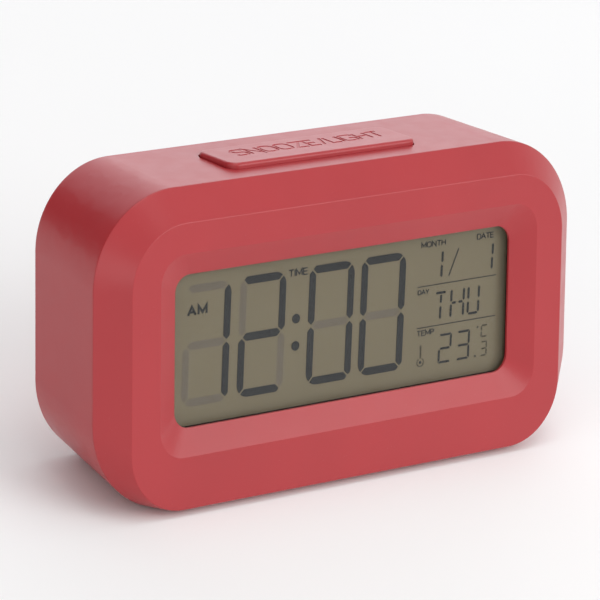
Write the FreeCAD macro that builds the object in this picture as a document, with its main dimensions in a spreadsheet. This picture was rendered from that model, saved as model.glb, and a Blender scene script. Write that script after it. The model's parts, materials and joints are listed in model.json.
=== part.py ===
import FreeCAD, Part
import math
import os
import re

import Sketcher
from FreeCAD import Placement, Rotation, Vector

# A bedside alarm clock: a front bezel with a recessed segment display, a tapered rear housing, a snooze bar
# on the top, four keys and a slide knob in the back, and three battery cells behind a swinging door.
#
# Every piece is drawn in the face frame: x to the right, y from the front face towards the back, z up along
# the face, with the origin at the middle of the case's outline. The stance then leans the whole clock back
# about the x axis, so that its flat underside lies on the table at z = 0.

DIMENSIONS = [
    # how the clock stands
    ("lean_angle", 13.4, "how far the face leans back from upright, in degrees"),
    ("stand_shift", -16.625, "depth of the face frame's origin, so that the clock is centred"),
    # joints between pieces and features
    ("past", 1.0, "how far a cut runs past what it goes through"),
    ("bite", 0.1, "how far a rib, stud or leg sinks into what it stands on"),
    # case
    ("case_width", 135.0, "widest outline, at the crease where the bezel's chamfer ends"),
    ("case_height", 71.7, ""),
    ("case_corner", 21.1, ""),
    ("crease_depth", 5.6, ""),
    ("crease_round", 0.5, ""),
    ("seam_depth", 6.4, "where the housing starts, just behind the crease"),
    ("case_depth", 33.5, "from the front face to the back"),
    ("sole_trim", 0.1, "how much of the underside is trimmed to one flat face to stand on"),
    ("back_width", 127.8, "outline of the back"),
    ("back_height", 67.5, ""),
    ("back_corner", 19.3, ""),
    ("back_round", 1.2, "rounding of the back's edge"),
    ("wall", 2.0, ""),
    ("lap_depth", 1.3, "tongue of the bezel that locates it in the housing"),
    ("lap_wall", 1.0, ""),
    ("lap_gap", 0.05, ""),
    ("post_gap", 0.1, "gap between the bezel's bosses and the housing's posts"),
    # bezel
    ("face_width", 122.1, "outline of the flat front face"),
    ("face_height", 64.4, ""),
    ("face_drop", 3.23, "how far its middle lies below the case's"),
    ("face_corner", 14.4, ""),
    ("face_round", 0.4, "rounding of the edge between face and chamfer"),
    ("recess_width", 106.9, "display recess where it meets the face"),
    ("recess_height", 45.6, ""),
    ("recess_drop", 0.71, ""),
    ("recess_corner", 6.6, ""),
    ("window_width", 95.2, "display window at the bottom of the recess"),
    ("window_height", 34.6, ""),
    ("window_drop", 0.55, ""),
    ("window_corner", 4.0, ""),
    ("window_depth", 2.97, ""),
    ("lip_depth", 3.55, "back of the window's lip"),
    ("rib", 1.5, "material round the recess"),
    # snooze bar
    ("bar_middle", 0.22, "x of the bar's middle"),
    ("bar_width", 52.95, ""),
    ("bar_front", 11.35, "depth of its front side"),
    ("bar_deep", 13.8, "from its front side to its rear side"),
    ("bar_top_front", 37.72, "height of its top at the front side"),
    ("bar_top_rear", 38.55, ""),
    ("bar_foot", 33.0, "height of its lower rim"),
    ("bar_corner", 2.6, ""),
    ("bar_round", 0.8, ""),
    ("bar_wall", 1.4, ""),
    ("bar_gap", 0.25, "gap all round in the housing's opening"),
    ("hook_reach", 1.3, "how far the retaining hooks reach under the housing"),
    ("hook_top", 34.3, ""),
    ("hook_root", 0.6, "how deep they are rooted in the bar's ends"),
    ("hook_half", 3.0, "half their width"),
    ("press_height", 32.0, "where the bar's post meets the switch plunger"),
    ("bar_inner_corner", 0.6, ""),
    ("bar_post_wide", 2.2, "half its post's width"),
    ("bar_post_deep", 1.2, "half its post's depth"),
    ("bar_rib", 0.5, "half the thickness of its inner ribs"),
    ("rib_lift", 0.6, "how far the ribs stop short of its rim"),
    ("push_low", 22.0, "bottom of the snooze switch"),
    ("push_high", 28.5, ""),
    ("push_bore", 2.3, "depth of its bore"),
    ("push_seated", 1.1, "how far its plunger reaches into it at rest"),
    # display
    ("glass_half", 50.6, "half the display glass's width"),
    ("glass_top", 20.6, ""),
    ("glass_bottom", -21.0, "lower edge of the front glass, with its contact ledge"),
    ("ledge_height", 2.4, "height of the contact ledge that the rear glass leaves free"),
    ("film_half", 50.2, "half the polarisers' width"),
    ("film_top", 20.2, ""),
    ("film_bottom", -18.4, ""),
    ("stack_front", 3.75, "front of the front polariser"),
    ("film", 0.2, "thickness of a film"),
    ("glass", 1.1, "thickness of a glass"),
    ("crystal_layer", 0.1, ""),
    ("guide_half", 47.3, "half the light guide's width"),
    ("guide_top", 18.1, ""),
    ("guide_bottom", -17.7, ""),
    ("guide_thick", 2.0, ""),
    ("holder_half", 52.0, ""),
    ("holder_high", 22.3, "half the display holder's height"),
    ("holder_front", 3.85, ""),
    ("holder_corner", 1.0, ""),
    ("bed_gap", 0.2, "room round the glass in the holder"),
    ("zebra_half", 45.0, "half the contact strip's width"),
    ("lamp_bay", 1.5, "room beside the light guide for a lamp"),
    ("lamp_half", 0.6, ""),
    ("lamp_high", 2.5, "half its height"),
    # main board
    ("board_front", 10.2, ""),
    ("board_thick", 1.2, ""),
    ("board_half", 52.0, ""),
    ("board_corner", 1.5, ""),
    ("board_high", 28.5, "half its height"),
    ("board_screw_x", 46.0, ""),
    ("board_screw_z", 25.8, ""),
    ("stud_radius", 2.2, "bezel studs that the board is screwed to"),
    ("small_shank", 0.9, ""),
    ("small_head", 2.0, ""),
    ("small_head_thick", 1.0, ""),
    ("small_reach", 5.5, "length of a small screw under its head"),
    ("tip_room", 0.5, "hole beyond a screw's tip"),
    # parts on the main board
    ("dome_radius", 9.0, "the blob of resin over the driver chip"),
    ("dome_height", 1.8, ""),
    ("crystal_x", -20.0, ""),
    ("crystal_z", 9.0, ""),
    ("crystal_radius", 1.1, ""),
    ("crystal_long", 6.5, ""),
    ("crystal_leg", 2.6, ""),
    ("crystal_leg_radius", 0.15, ""),
    ("crystal_spread", 0.5, ""),
    ("can_x", 44.0, "the capacitor"),
    ("can_z", 10.0, ""),
    ("can_radius", 3.15, ""),
    ("can_height", 6.4, ""),
    ("can_foot", 0.4, ""),
    ("can_foot_radius", 2.7, ""),
    ("chip_first", -24.0, "x of the first chip component"),
    ("chip_pitch", 6.5, ""),
    ("chip_row", -14.5, ""),
    ("chip_stagger", 1.5, ""),
    ("chip_half", 1.0, ""),
    ("chip_high", 0.6, "half its height, and its thickness"),
    ("transistor_x", -34.0, ""),
    ("transistor_z", -8.0, ""),
    ("transistor_half", 1.5, ""),
    ("transistor_high", 0.8, ""),
    ("transistor_thick", 1.1, ""),
    ("pin_pitch", 0.95, ""),
    ("pin_half", 0.22, "half a pin's width"),
    ("pin_long", 0.4, "half its length on the board"),
    ("pin_thick", 0.3, ""),
    ("thermistor_x", 46.0, ""),
    ("thermistor_z", -19.0, "lower end of its bead"),
    ("bead_radius", 1.3, ""),
    ("bead_long", 2.6, ""),
    ("bead_lift", 2.2, "depth of its axis behind the board"),
    ("bead_spread", 0.7, ""),
    # case screws
    ("post_x", 56.0, ""),
    ("post_upper", 22.0, ""),
    ("post_lower", -15.0, ""),
    ("post_radius", 3.4, ""),
    ("post_front", 14.1, ""),
    ("boss_radius", 3.0, ""),
    ("shank_radius", 1.3, ""),
    ("head_radius", 2.4, ""),
    ("head_thick", 1.6, ""),
    ("head_gap", 0.3, "room round the heads in the posts"),
    ("head_seat", 24.0, "depth at which the screw heads bear"),
    ("screw_reach", 8.0, "depth of the screws' tips"),
    # battery compartment
    ("cell_radius", 5.25, ""),
    ("cell_length", 44.5, "with its positive nub"),
    ("nub_radius", 1.9, ""),
    ("nub_length", 0.8, ""),
    ("cell_pitch", 11.2, ""),
    ("cell_depth", 25.5, "depth of the cells' axes"),
    ("bay_middle", 1.25, "x of the compartment's middle"),
    ("bay_height", -6.0, "z of its middle"),
    ("bay_long", 51.5, ""),
    ("bay_tall", 34.2, ""),
    ("bay_floor", 19.9, "depth of the floor that the cells lie over"),
    ("bay_wall", 1.2, ""),
    ("contact_thick", 0.4, ""),
    ("contact_high", 4.4, "its reach above and below a cell's axis"),
    ("contact_deep", 4.6, "its reach past the cells' axes"),
    ("contact_foot", 0.5, "gap between a contact and the compartment's floor"),
    ("tag_half", 1.2, "half the width of its soldering tag"),
    ("spring_wire", 0.3, "radius of the spring wire"),
    ("spring_small", 2.5, ""),
    ("spring_large", 3.6, ""),
    ("spring_turns", 4.0, ""),
    # battery door
    ("door_half", 29.75, "half its width"),
    ("door_high", 19.75, "half its height"),
    ("door_corner", 1.8, ""),
    ("door_thick", 1.6, ""),
    ("door_sunk", 0.1, "how far it lies below the back"),
    ("door_gap", 0.25, ""),
    ("door_rest", 0.1, "gap between it and its ledge"),
    ("door_round", 0.3, ""),
    ("ledge_reach", 1.5, "how far its ledge reaches past it"),
    ("tab_reach", 2.1, ""),
    ("tab_wide", 5.0, ""),
    ("tab_thick", 0.7, ""),
    ("tab_spread", 15.0, ""),
    ("tab_root", 1.0, "how far its tabs run along its inside"),
    ("tab_play", 0.3, "room round a tab in its slot"),
    ("slot_deep", 2.5, ""),
    ("latch_half", 6.0, "half the width of its springy latch"),
    ("latch_long", 8.0, ""),
    ("slit_half", 0.4, ""),
    ("thumb_wide", 4.0, "half the thumb dip's width"),
    ("thumb_high", 1.6, "half its height"),
    ("thumb_deep", 0.7, ""),
    # keys and switches in the back
    ("key_height", 22.0, "z of the row of keys"),
    ("key_first", -24.0, "x of the first key"),
    ("key_pitch", 14.0, ""),
    ("key_half_wide", 4.0, ""),
    ("key_half_high", 2.3, ""),
    ("key_proud", 0.8, ""),
    ("key_gap", 0.2, ""),
    ("key_flange", 1.0, "how far the flange reaches past the cap, and its thickness"),
    ("key_flat", 0.1, "what stays straight at a round end, each way"),
    ("key_round", 0.35, ""),
    ("key_stud", 1.8, "radius of the studs that the key board is screwed to"),
    ("key_stud_inset", 2.4, ""),
    ("flange_gap", 0.1, "gap between a flange and the back wall"),
    ("key_bore", 1.4, "depth of the key switches' bores"),
    ("key_seated", 0.7, "how far a key's plunger reaches into its switch"),
    ("key_board_front", 23.0, ""),
    ("key_board_left", -34.0, ""),
    ("key_board_right", 50.4, ""),
    ("key_board_high", 5.5, "half its height"),
    ("switch_half", 3.0, ""),
    ("switch_thick", 3.5, ""),
    ("plunger_radius", 1.75, ""),
    ("plunger_bore", 1.85, ""),
    ("knob_middle", 38.0, "x of the slide knob's slot"),
    ("knob_half", 2.1, "half the knob's width"),
    ("knob_high", 1.7, "half its height"),
    ("knob_travel", 3.0, ""),
    ("knob_corner", 0.4, ""),
    ("knob_flange", 5.6, "half the width of its flange"),
    ("knob_rim", 1.2, "how far its flange reaches above and below it"),
    ("groove_pitch", 1.2, "grooves across its face"),
    ("groove_half", 0.25, ""),
    ("groove_deep", 0.4, ""),
    ("slider_half", 4.3, "half the slide switch's width"),
    ("slider_high", 2.2, "half its height"),
    ("lever_half", 0.8, ""),
    ("lever_gap", 0.2, ""),
    ("lever_hole", 1.6, "depth of the hole in the knob"),
    ("lever_seated", 1.2, "how far the lever reaches into the switch"),
    ("way_deep", 1.6, ""),
    # sounder
    ("sounder_x", -41.0, ""),
    ("sounder_z", 4.0, ""),
    ("sounder_radius", 13.5, ""),
    ("ceramic_radius", 9.75, ""),
    ("sounder_seat", 30.2, "depth of the back of the sounder plate"),
    ("sounder_thick", 0.25, "thickness of its plate, and of the ceramic on it"),
    ("sounder_gap", 0.1, ""),
    ("cup_wall", 1.1, "wall of its cup, and the step that its plate sits on"),
    ("cup_rise", 1.8, "how far the cup reaches in front of the plate's back"),
    ("grille_hole", 0.8, ""),
    ("grille_pitch", 3.2, "distance between rings of grille holes"),
    # wires
    ("lead_radius", 0.6, ""),
    ("strand_radius", 0.42, ""),
    ("strand_pitch", 0.95, ""),
    ("strand_middle", 8.0, ""),
    ("sounder_lead", 0.48, "radius"),
]
ALIASES = {alias for alias, _, _ in DIMENSIONS}
SIDES = (-1, 1)

doc = FreeCAD.newDocument("alarm_clock")
dims = doc.addObject("Spreadsheet::Sheet", "dims")
for row, (alias, value, note) in enumerate(DIMENSIONS, 1):
    dims.set(f"A{row}", alias)
    dims.set(f"B{row}", str(value))
    dims.setAlias(f"B{row}", alias)
    dims.set(f"C{row}", note)
doc.recompute()

pieces = []
plane_of = {}
local_place = {}


# ---------------------------------------------------------------- formulas


def formula(text):
    """A formula over the sheet's aliases, as an expression of this document."""
    return re.sub(r"[a-z_]+", lambda word: f"dims.{word[0]}" if word[0] in ALIASES else word[0], str(text))


def number(text):
    """What such a formula comes to."""
    return float(dims.evalExpression(formula(text)))


def span(middle, half):
    """The pair of formulas for a range about a middle."""
    return f"{middle} - ({half})", f"{middle} + ({half})"


def place(x=0, y=0, z=0, axis=(1, 0, 0), angle=0):
    """The expression of a placement at formulas x, y, z, turned about an axis."""
    turn = f"rotation(vector({axis[0]}; {axis[1]}; {axis[2]}); {angle})"
    return f"placement(vector({formula(x)}; {formula(y)}; {formula(z)}); {turn})"


STAND_LIFT = "(case_height / 2 - sole_trim + crease_depth * tan(lean_angle)) * cos(lean_angle)"
STANCE = place(0, "stand_shift", STAND_LIFT, (-1, 0, 0), "dims.lean_angle")
BACK_Z = "(back_height / 2 - case_height / 2 + (case_depth - crease_depth) * tan(lean_angle))"
SEAM_SHARE = "((seam_depth - crease_depth) / (case_depth - crease_depth))"
BACK_INNER = "(case_depth - wall)"
DOOR_BACK = "(case_depth - door_sunk)"
DOOR_FRONT = "(case_depth - door_sunk - door_thick)"
LEDGE = "(case_depth - door_sunk - door_thick - door_rest)"
DOOR_LOW = "(bay_height - door_high)"
BAR_BACK = "(bar_front + bar_deep)"
BAR_DEPTH = "(bar_front + bar_deep / 2)"
KEY_BOARD_BACK = "(key_board_front + board_thick)"
SWITCH_BACK = "(key_board_front + board_thick + switch_thick)"
FLANGE_BACK = "(case_depth - wall - flange_gap)"
SMALL_PILOT = "(small_reach - board_thick + tip_room)"
BOARD_BACK = "(board_front + board_thick)"
PRESS_DEPTH = "(board_front + board_thick + switch_thick)"


# ---------------------------------------------------------------- sketches and features

# Each drawing plane, the sign of its offset, and the way that a pad goes by itself along the axis it faces.
PLANES = {"face": ("XZ_Plane", -1, -1), "plan": ("XY_Plane", 1, 1), "side": ("YZ_Plane", 1, 1)}


def new_body(name):
    return doc.addObject("PartDesign::Body", name)


def sketch_on(body, name, plane, at):
    """An empty sketch on one of the body's planes, at a formula's depth (face), height (plan) or x (side)."""
    role, sign, _ = PLANES[plane]
    sketch = body.newObject("Sketcher::SketchObject", name)
    origin_plane = next(f for f in body.Origin.OriginFeatures if f.Role == role)
    sketch.AttachmentSupport = [(origin_plane, "")]
    sketch.MapMode = "FlatFace"
    sketch.setExpression("AttachmentOffset.Base.z", f"{sign} * ({formula(at)})")
    plane_of[sketch.Name] = plane
    return sketch


def fix(sketch, kind, *where, at, name):
    """A dimension of the sketch, bound to a formula."""
    index = sketch.addConstraint(Sketcher.Constraint(kind, *where, number(at)))
    sketch.renameConstraint(index, name)
    sketch.setExpression(f"Constraints.{name}", formula(at))


def draw_polygon(sketch, corners):
    """A closed outline of straight lines through corners given as pairs of formulas."""
    points = [Vector(number(u), number(v), 0) for u, v in corners]
    first = sketch.GeometryCount
    count = len(points)
    for i in range(count):
        sketch.addGeometry(Part.LineSegment(points[i], points[(i + 1) % count]), False)
    for i in range(count):
        sketch.addConstraint(Sketcher.Constraint("Coincident", first + i, 2, first + (i + 1) % count, 1))
    for i, (u, v) in enumerate(corners):
        fix(sketch, "DistanceX", -1, 1, first + i, 1, at=u, name=f"u{first + i}")
        fix(sketch, "DistanceY", -1, 1, first + i, 1, at=v, name=f"v{first + i}")


def draw_rectangle(sketch, u, v):
    """A sharp rectangle over the ranges u and v, each a pair of formulas."""
    draw_polygon(sketch, [(u[0], v[0]), (u[1], v[0]), (u[1], v[1]), (u[0], v[1])])


def draw_rounded(sketch, half_u, half_v, radius, middle_u="0", middle_v="0"):
    """A rectangle with round corners about a middle point."""
    left, right = f"{middle_u} - ({half_u})", f"{middle_u} + ({half_u})"
    low, high = f"{middle_v} - ({half_v})", f"{middle_v} + ({half_v})"
    x0, x1, y0, y1, r = (number(t) for t in (left, right, low, high, radius))
    first = sketch.GeometryCount
    corners = [(x1 - r, y0 + r, -90), (x1 - r, y1 - r, 0), (x0 + r, y1 - r, 90), (x0 + r, y0 + r, 180)]
    ends = []
    for cx, cy, start in corners:
        a, b = math.radians(start), math.radians(start + 90)
        circle = Part.Circle(Vector(cx, cy, 0), Vector(0, 0, 1), r)
        sketch.addGeometry(Part.ArcOfCircle(circle, a, b), False)
        ends.append([Vector(cx + r * math.cos(t), cy + r * math.sin(t), 0) for t in (a, b)])
    for i in range(4):
        sketch.addGeometry(Part.LineSegment(ends[i][1], ends[(i + 1) % 4][0]), False)
    for i in range(4):
        sketch.addConstraint(Sketcher.Constraint("Tangent", first + i, 2, first + 4 + i, 1))
        sketch.addConstraint(Sketcher.Constraint("Tangent", first + 4 + i, 2, first + (i + 1) % 4, 1))
    for i in (0, 2):
        sketch.addConstraint(Sketcher.Constraint("Vertical", first + 4 + i))
        sketch.addConstraint(Sketcher.Constraint("Horizontal", first + 5 + i))
    for i in (1, 2, 3):
        sketch.addConstraint(Sketcher.Constraint("Equal", first, first + i))
    fix(sketch, "Radius", first, at=radius, name=f"corner{first}")
    fix(sketch, "DistanceX", -1, 1, first + 4, 1, at=right, name=f"right{first}")
    fix(sketch, "DistanceX", -1, 1, first + 6, 1, at=left, name=f"left{first}")
    fix(sketch, "DistanceY", -1, 1, first + 5, 1, at=high, name=f"high{first}")
    fix(sketch, "DistanceY", -1, 1, first + 7, 1, at=low, name=f"low{first}")


def draw_circle(sketch, u, v, radius):
    circle = Part.Circle(Vector(number(u), number(v), 0), Vector(0, 0, 1), number(radius))
    index = sketch.addGeometry(circle, False)
    fix(sketch, "DistanceX", -1, 1, index, 3, at=u, name=f"cu{index}")
    fix(sketch, "DistanceY", -1, 1, index, 3, at=v, name=f"cv{index}")
    fix(sketch, "Radius", index, at=radius, name=f"r{index}")


def volume_of(body):
    return 0.0 if body.Shape.isNull() else body.Shape.Volume


def settle(body, feature, adds, before):
    """Recomputes, and stops if a feature didn't add or remove material as it should."""
    doc.recompute()
    change = volume_of(body) - before
    if (change > 0) != adds or abs(change) < 1e-6:
        raise RuntimeError(f"{feature.Name} changed the volume of {body.Name} by {change:.3f}")
    return feature


def extrude(body, name, sketch, length, way=1):
    """A pad from the sketch's plane; way is 1 towards greater y, z or x, and -1 the other way."""
    before = volume_of(body)
    pad = body.newObject("PartDesign::Pad", name)
    pad.Profile = sketch
    pad.setExpression("Length", formula(length))
    pad.Reversed = PLANES[plane_of[sketch.Name]][2] != way
    return settle(body, pad, True, before)


def pocket(body, name, sketch, length, way=1):
    """A pocket from the sketch's plane, in the same sense of way."""
    before = volume_of(body)
    cut = body.newObject("PartDesign::Pocket", name)
    cut.Profile = sketch
    cut.setExpression("Length", formula(length))
    cut.Reversed = PLANES[plane_of[sketch.Name]][2] == way
    return settle(body, cut, False, before)


def loft(body, name, first, last, cut=False):
    """A straight loft between two outlines on the face plane, drawn from the deeper one to the nearer one."""
    before = volume_of(body)
    kind = "PartDesign::SubtractiveLoft" if cut else "PartDesign::AdditiveLoft"
    feature = body.newObject(kind, name)
    feature.Profile = first
    feature.Sections = [last]
    feature.Ruled = True
    return settle(body, feature, not cut, before)


def soften(body, name, radius, chosen):
    """A fillet on the edges of the body's tip that the function chosen says yes to."""
    tip = body.Tip
    edges = [f"Edge{i}" for i, edge in enumerate(tip.Shape.Edges, 1) if chosen(edge)]
    if not edges:
        raise RuntimeError(f"{name} finds no edges on {body.Name}")
    fillet = body.newObject("PartDesign::Fillet", name)
    fillet.Base = (tip, edges)
    fillet.setExpression("Radius", formula(radius))
    return settle(body, fillet, False, tip.Shape.Volume)


def lies_at(edge, axis, value):
    """True if the whole edge lies on the plane where a coordinate has that value."""
    low, high = getattr(edge.BoundBox, f"{axis}Min"), getattr(edge.BoundBox, f"{axis}Max")
    return abs(low - value) < 1e-4 and abs(high - value) < 1e-4


# ---------------------------------------------------------------- primitives


def block(name, x, y, z):
    """A box over three ranges, each a pair of formulas."""
    box = doc.addObject("Part::Box", name)
    for side, (low, high) in zip(("Length", "Width", "Height"), (x, y, z)):
        box.setExpression(side, formula(f"({high}) - ({low})"))
    local_place[box.Name] = place(x[0], y[0], z[0])
    box.setExpression("Placement", local_place[box.Name])
    return box


TURNS = {"x": ((0, 1, 0), 90), "y": ((1, 0, 0), -90), "z": ((0, 0, 1), 0)}


def rod(name, along, x, y, z, radius, length):
    """A cylinder along an axis, from the point x, y, z."""
    cylinder = doc.addObject("Part::Cylinder", name)
    cylinder.setExpression("Radius", formula(radius))
    cylinder.setExpression("Height", formula(length))
    local_place[cylinder.Name] = place(x, y, z, *TURNS[along])
    cylinder.setExpression("Placement", local_place[cylinder.Name])
    return cylinder


def fused(name, *shapes):
    fuse = doc.addObject("Part::MultiFuse", name)
    fuse.Shapes = list(shapes)
    return fuse


def cut_from(name, base, *tools):
    """The base with the tools taken out of it."""
    cut = doc.addObject("Part::Cut", name)
    cut.Base = base
    cut.Tool = tools[0] if len(tools) == 1 else fused(f"{name}_tools", *tools)
    return cut


def grouped(name, *shapes):
    """Several separate solids that share a node."""
    group = doc.addObject("Part::Compound", name)
    group.Links = list(shapes)
    return group


def coded(name, shape):
    """A piece whose shape is made by Part's functions."""
    feature = doc.addObject("Part::Feature", name)
    feature.Shape = shape
    return feature


def piece(label, made):
    """Names a finished piece and stands it on the table with the rest of the clock."""
    made.Label = label
    local = local_place.get(made.Name)
    made.setExpression("Placement", f"{STANCE} * {local}" if local else STANCE)
    pieces.append(made)
    return made


# ---------------------------------------------------------------- case


def crease_outline(body, name, inset):
    sketch = sketch_on(body, name, "face", "crease_depth")
    draw_rounded(sketch, f"case_width / 2 - {inset}", f"case_height / 2 - {inset}", f"case_corner - {inset}")
    return sketch


def draw_seam(sketch, inset):
    """The case's outline at the seam, part of the way from the crease to the back."""
    half_u = f"(case_width - (case_width - back_width) * {SEAM_SHARE}) / 2 - ({inset})"
    half_v = f"(case_height - (case_height - back_height) * {SEAM_SHARE}) / 2 - ({inset})"
    radius = f"case_corner - (case_corner - back_corner) * {SEAM_SHARE} - ({inset})"
    draw_rounded(sketch, half_u, half_v, radius, "0", f"{BACK_Z} * {SEAM_SHARE}")


def seam_outline(body, name, inset):
    sketch = sketch_on(body, name, "face", "seam_depth")
    draw_seam(sketch, inset)
    return sketch


def face_outline(body, name, depth, inset):
    sketch = sketch_on(body, name, "face", depth)
    half_u, half_v = f"face_width / 2 - {inset}", f"face_height / 2 - {inset}"
    draw_rounded(sketch, half_u, half_v, f"face_corner - {inset}", "0", "-face_drop")
    return sketch


def recess_outline(body, name, depth, grow):
    sketch = sketch_on(body, name, "face", depth)
    half_u, half_v = f"recess_width / 2 + {grow}", f"recess_height / 2 + {grow}"
    draw_rounded(sketch, half_u, half_v, f"recess_corner + {grow}", "0", "-recess_drop")
    return sketch


def window_outline(body, name, depth, grow):
    sketch = sketch_on(body, name, "face", depth)
    half_u, half_v = f"window_width / 2 + {grow}", f"window_height / 2 + {grow}"
    draw_rounded(sketch, half_u, half_v, f"window_corner + {grow}", "0", "-window_drop")
    return sketch


def back_outline(body, name, depth, inset):
    sketch = sketch_on(body, name, "face", depth)
    half_u, half_v = f"back_width / 2 - {inset}", f"back_height / 2 - {inset}"
    draw_rounded(sketch, half_u, half_v, f"back_corner - {inset}", "0", BACK_Z)
    return sketch


def trim_sole(body):
    """Trims the underside to the plane that lies on the table."""
    outline = sketch_on(body, "sole_outline", "side", "-case_width / 2 - past")
    corners = []
    for depth in ("0", "case_depth + past"):
        corners.append((depth, f"sole_trim - case_height / 2 + ({depth} - crease_depth) * tan(lean_angle)"))
    for depth in ("case_depth + past", "0"):
        corners.append((depth, "-case_height / 2 - 2 * past"))
    draw_polygon(outline, corners)
    pocket(body, "sole", outline, "case_width + 2 * past")


def four_circles(body, name, depth, x, heights, radius):
    """Circles at plus and minus x, at both heights."""
    sketch = sketch_on(body, name, "face", depth)
    for side in SIDES:
        for height in heights:
            draw_circle(sketch, f"{side} * {x}", height, radius)
    return sketch


POST_HEIGHTS = ("post_upper", "post_lower")
STUD_HEIGHTS = ("board_screw_z", "-board_screw_z")


def front_bezel():
    body = new_body("front_bezel")
    loft(body, "skirt", seam_outline(body, "seam_edge", "0"), crease_outline(body, "skirt_edge", "0"))
    face = face_outline(body, "face_edge", "0", "0")
    loft(body, "chamfer", crease_outline(body, "crease", "0"), face)
    crease = number("crease_depth")
    soften(body, "crease_edges", "crease_round", lambda edge: lies_at(edge, "Y", crease))
    trim_sole(body)
    inside = face_outline(body, "inner_face_edge", "wall", "wall")
    loft(body, "hollow", crease_outline(body, "inner_crease", "wall"), inside, cut=True)
    inner_skirt = crease_outline(body, "inner_skirt_edge", "wall")
    pocket(body, "inner_skirt", inner_skirt, "seam_depth - crease_depth + past")
    ring_back = window_outline(body, "ring_back", "lip_depth", "rib")
    loft(body, "window_ring", ring_back, recess_outline(body, "ring_front", "wall", "rib"))

    tongue = sketch_on(body, "tongue_outline", "face", "seam_depth - lap_depth")
    for inset in ("lap_wall + lap_gap", "wall"):
        draw_seam(tongue, inset)
    extrude(body, "tongue", tongue, "2 * lap_depth")

    studs = four_circles(body, "stud_circles", "wall", "board_screw_x", STUD_HEIGHTS, "stud_radius")
    extrude(body, "board_studs", studs, "board_front - wall")
    bosses = four_circles(body, "boss_circles", "wall", "post_x", POST_HEIGHTS, "boss_radius")
    extrude(body, "screw_bosses", bosses, "post_front - post_gap - wall")

    window_edge = window_outline(body, "window_edge", "window_depth", "0")
    loft(body, "recess", window_edge, recess_outline(body, "recess_edge", "0", "0"), cut=True)
    opening = window_outline(body, "window_opening", "window_depth - bite", "0")
    pocket(body, "window", opening, "lip_depth")
    soften(body, "face_edges", "face_round", lambda edge: lies_at(edge, "Y", 0))

    pilots = four_circles(body, "pilot_circles", "post_front", "post_x", POST_HEIGHTS, "shank_radius")
    pocket(body, "boss_pilots", pilots, "post_front - screw_reach + tip_room", way=-1)
    taps = four_circles(body, "tap_circles", "board_front", "board_screw_x", STUD_HEIGHTS, "small_shank")
    pocket(body, "stud_pilots", taps, SMALL_PILOT, way=-1)
    return piece("front_bezel", body)


def add_battery_bay(body):
    """The compartment behind the door: walls, a ledge for the door, the recess, and slots for its tabs."""
    walls = sketch_on(body, "bay_outline", "face", "bay_floor - bay_wall")
    wide = span("bay_middle", "bay_long / 2 + bay_wall")
    draw_rectangle(walls, wide, span("bay_height", "bay_tall / 2 + bay_wall"))
    extrude(body, "bay_walls", walls, f"{BACK_INNER} + bite - (bay_floor - bay_wall)")
    ledge = sketch_on(body, "ledge_outline", "face", f"{LEDGE} - wall")
    wide = span("bay_middle", "door_half + ledge_reach")
    draw_rectangle(ledge, wide, span("bay_height", "door_high + ledge_reach"))
    extrude(body, "door_ledge", ledge, f"{BACK_INNER} + bite - ({LEDGE} - wall)")

    recess = sketch_on(body, "recess_outline", "face", "case_depth")
    half_u, half_v = "door_half + door_gap", "door_high + door_gap"
    draw_rounded(recess, half_u, half_v, "door_corner + door_gap", "bay_middle", "bay_height")
    pocket(body, "door_recess", recess, f"case_depth - {LEDGE}", way=-1)
    cavity = sketch_on(body, "cavity_outline", "face", "case_depth")
    draw_rectangle(cavity, span("bay_middle", "bay_long / 2"), span("bay_height", "bay_tall / 2"))
    pocket(body, "bay_cavity", cavity, "case_depth - bay_floor", way=-1)

    slots = sketch_on(body, "slot_outline", "face", f"{DOOR_FRONT} + tab_thick + tab_play")
    for side in SIDES:
        wide = span(f"bay_middle + {side} * tab_spread", "tab_wide / 2 + tab_play")
        tall = (f"{DOOR_LOW} - tab_reach - 2 * tab_play", f"{DOOR_LOW} + tab_root + tab_play / 2")
        draw_rectangle(slots, wide, tall)
    pocket(body, "tab_slots", slots, "slot_deep", way=-1)


def add_key_openings(body):
    openings = sketch_on(body, "key_openings", "face", "case_depth")
    for i in range(len(KEYS)):
        half_u, half_v = "key_half_wide + key_gap", "key_half_high + key_gap"
        middle = f"key_first + {i} * key_pitch"
        draw_rounded(openings, half_u, half_v, f"{half_v} - key_flat", middle, "key_height")
    half_u = "knob_half + knob_travel / 2 + key_gap"
    draw_rounded(openings, half_u, "knob_high + key_gap", "knob_corner", "knob_middle", "key_height")
    pocket(body, "key_holes", openings, "wall + past", way=-1)


def add_grille(body):
    """Rings of small round holes, six more in each ring."""
    holes = sketch_on(body, "grille_circles", "face", "case_depth")
    draw_circle(holes, "sounder_x", "sounder_z", "grille_hole")
    for ring in (1, 2):
        for i in range(6 * ring):
            angle = 60 * i / ring
            x = f"sounder_x + {ring} * grille_pitch * cos({angle})"
            z = f"sounder_z + {ring} * grille_pitch * sin({angle})"
            draw_circle(holes, x, z, "grille_hole")
    pocket(body, "grille", holes, "wall + bite", way=-1)


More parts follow.
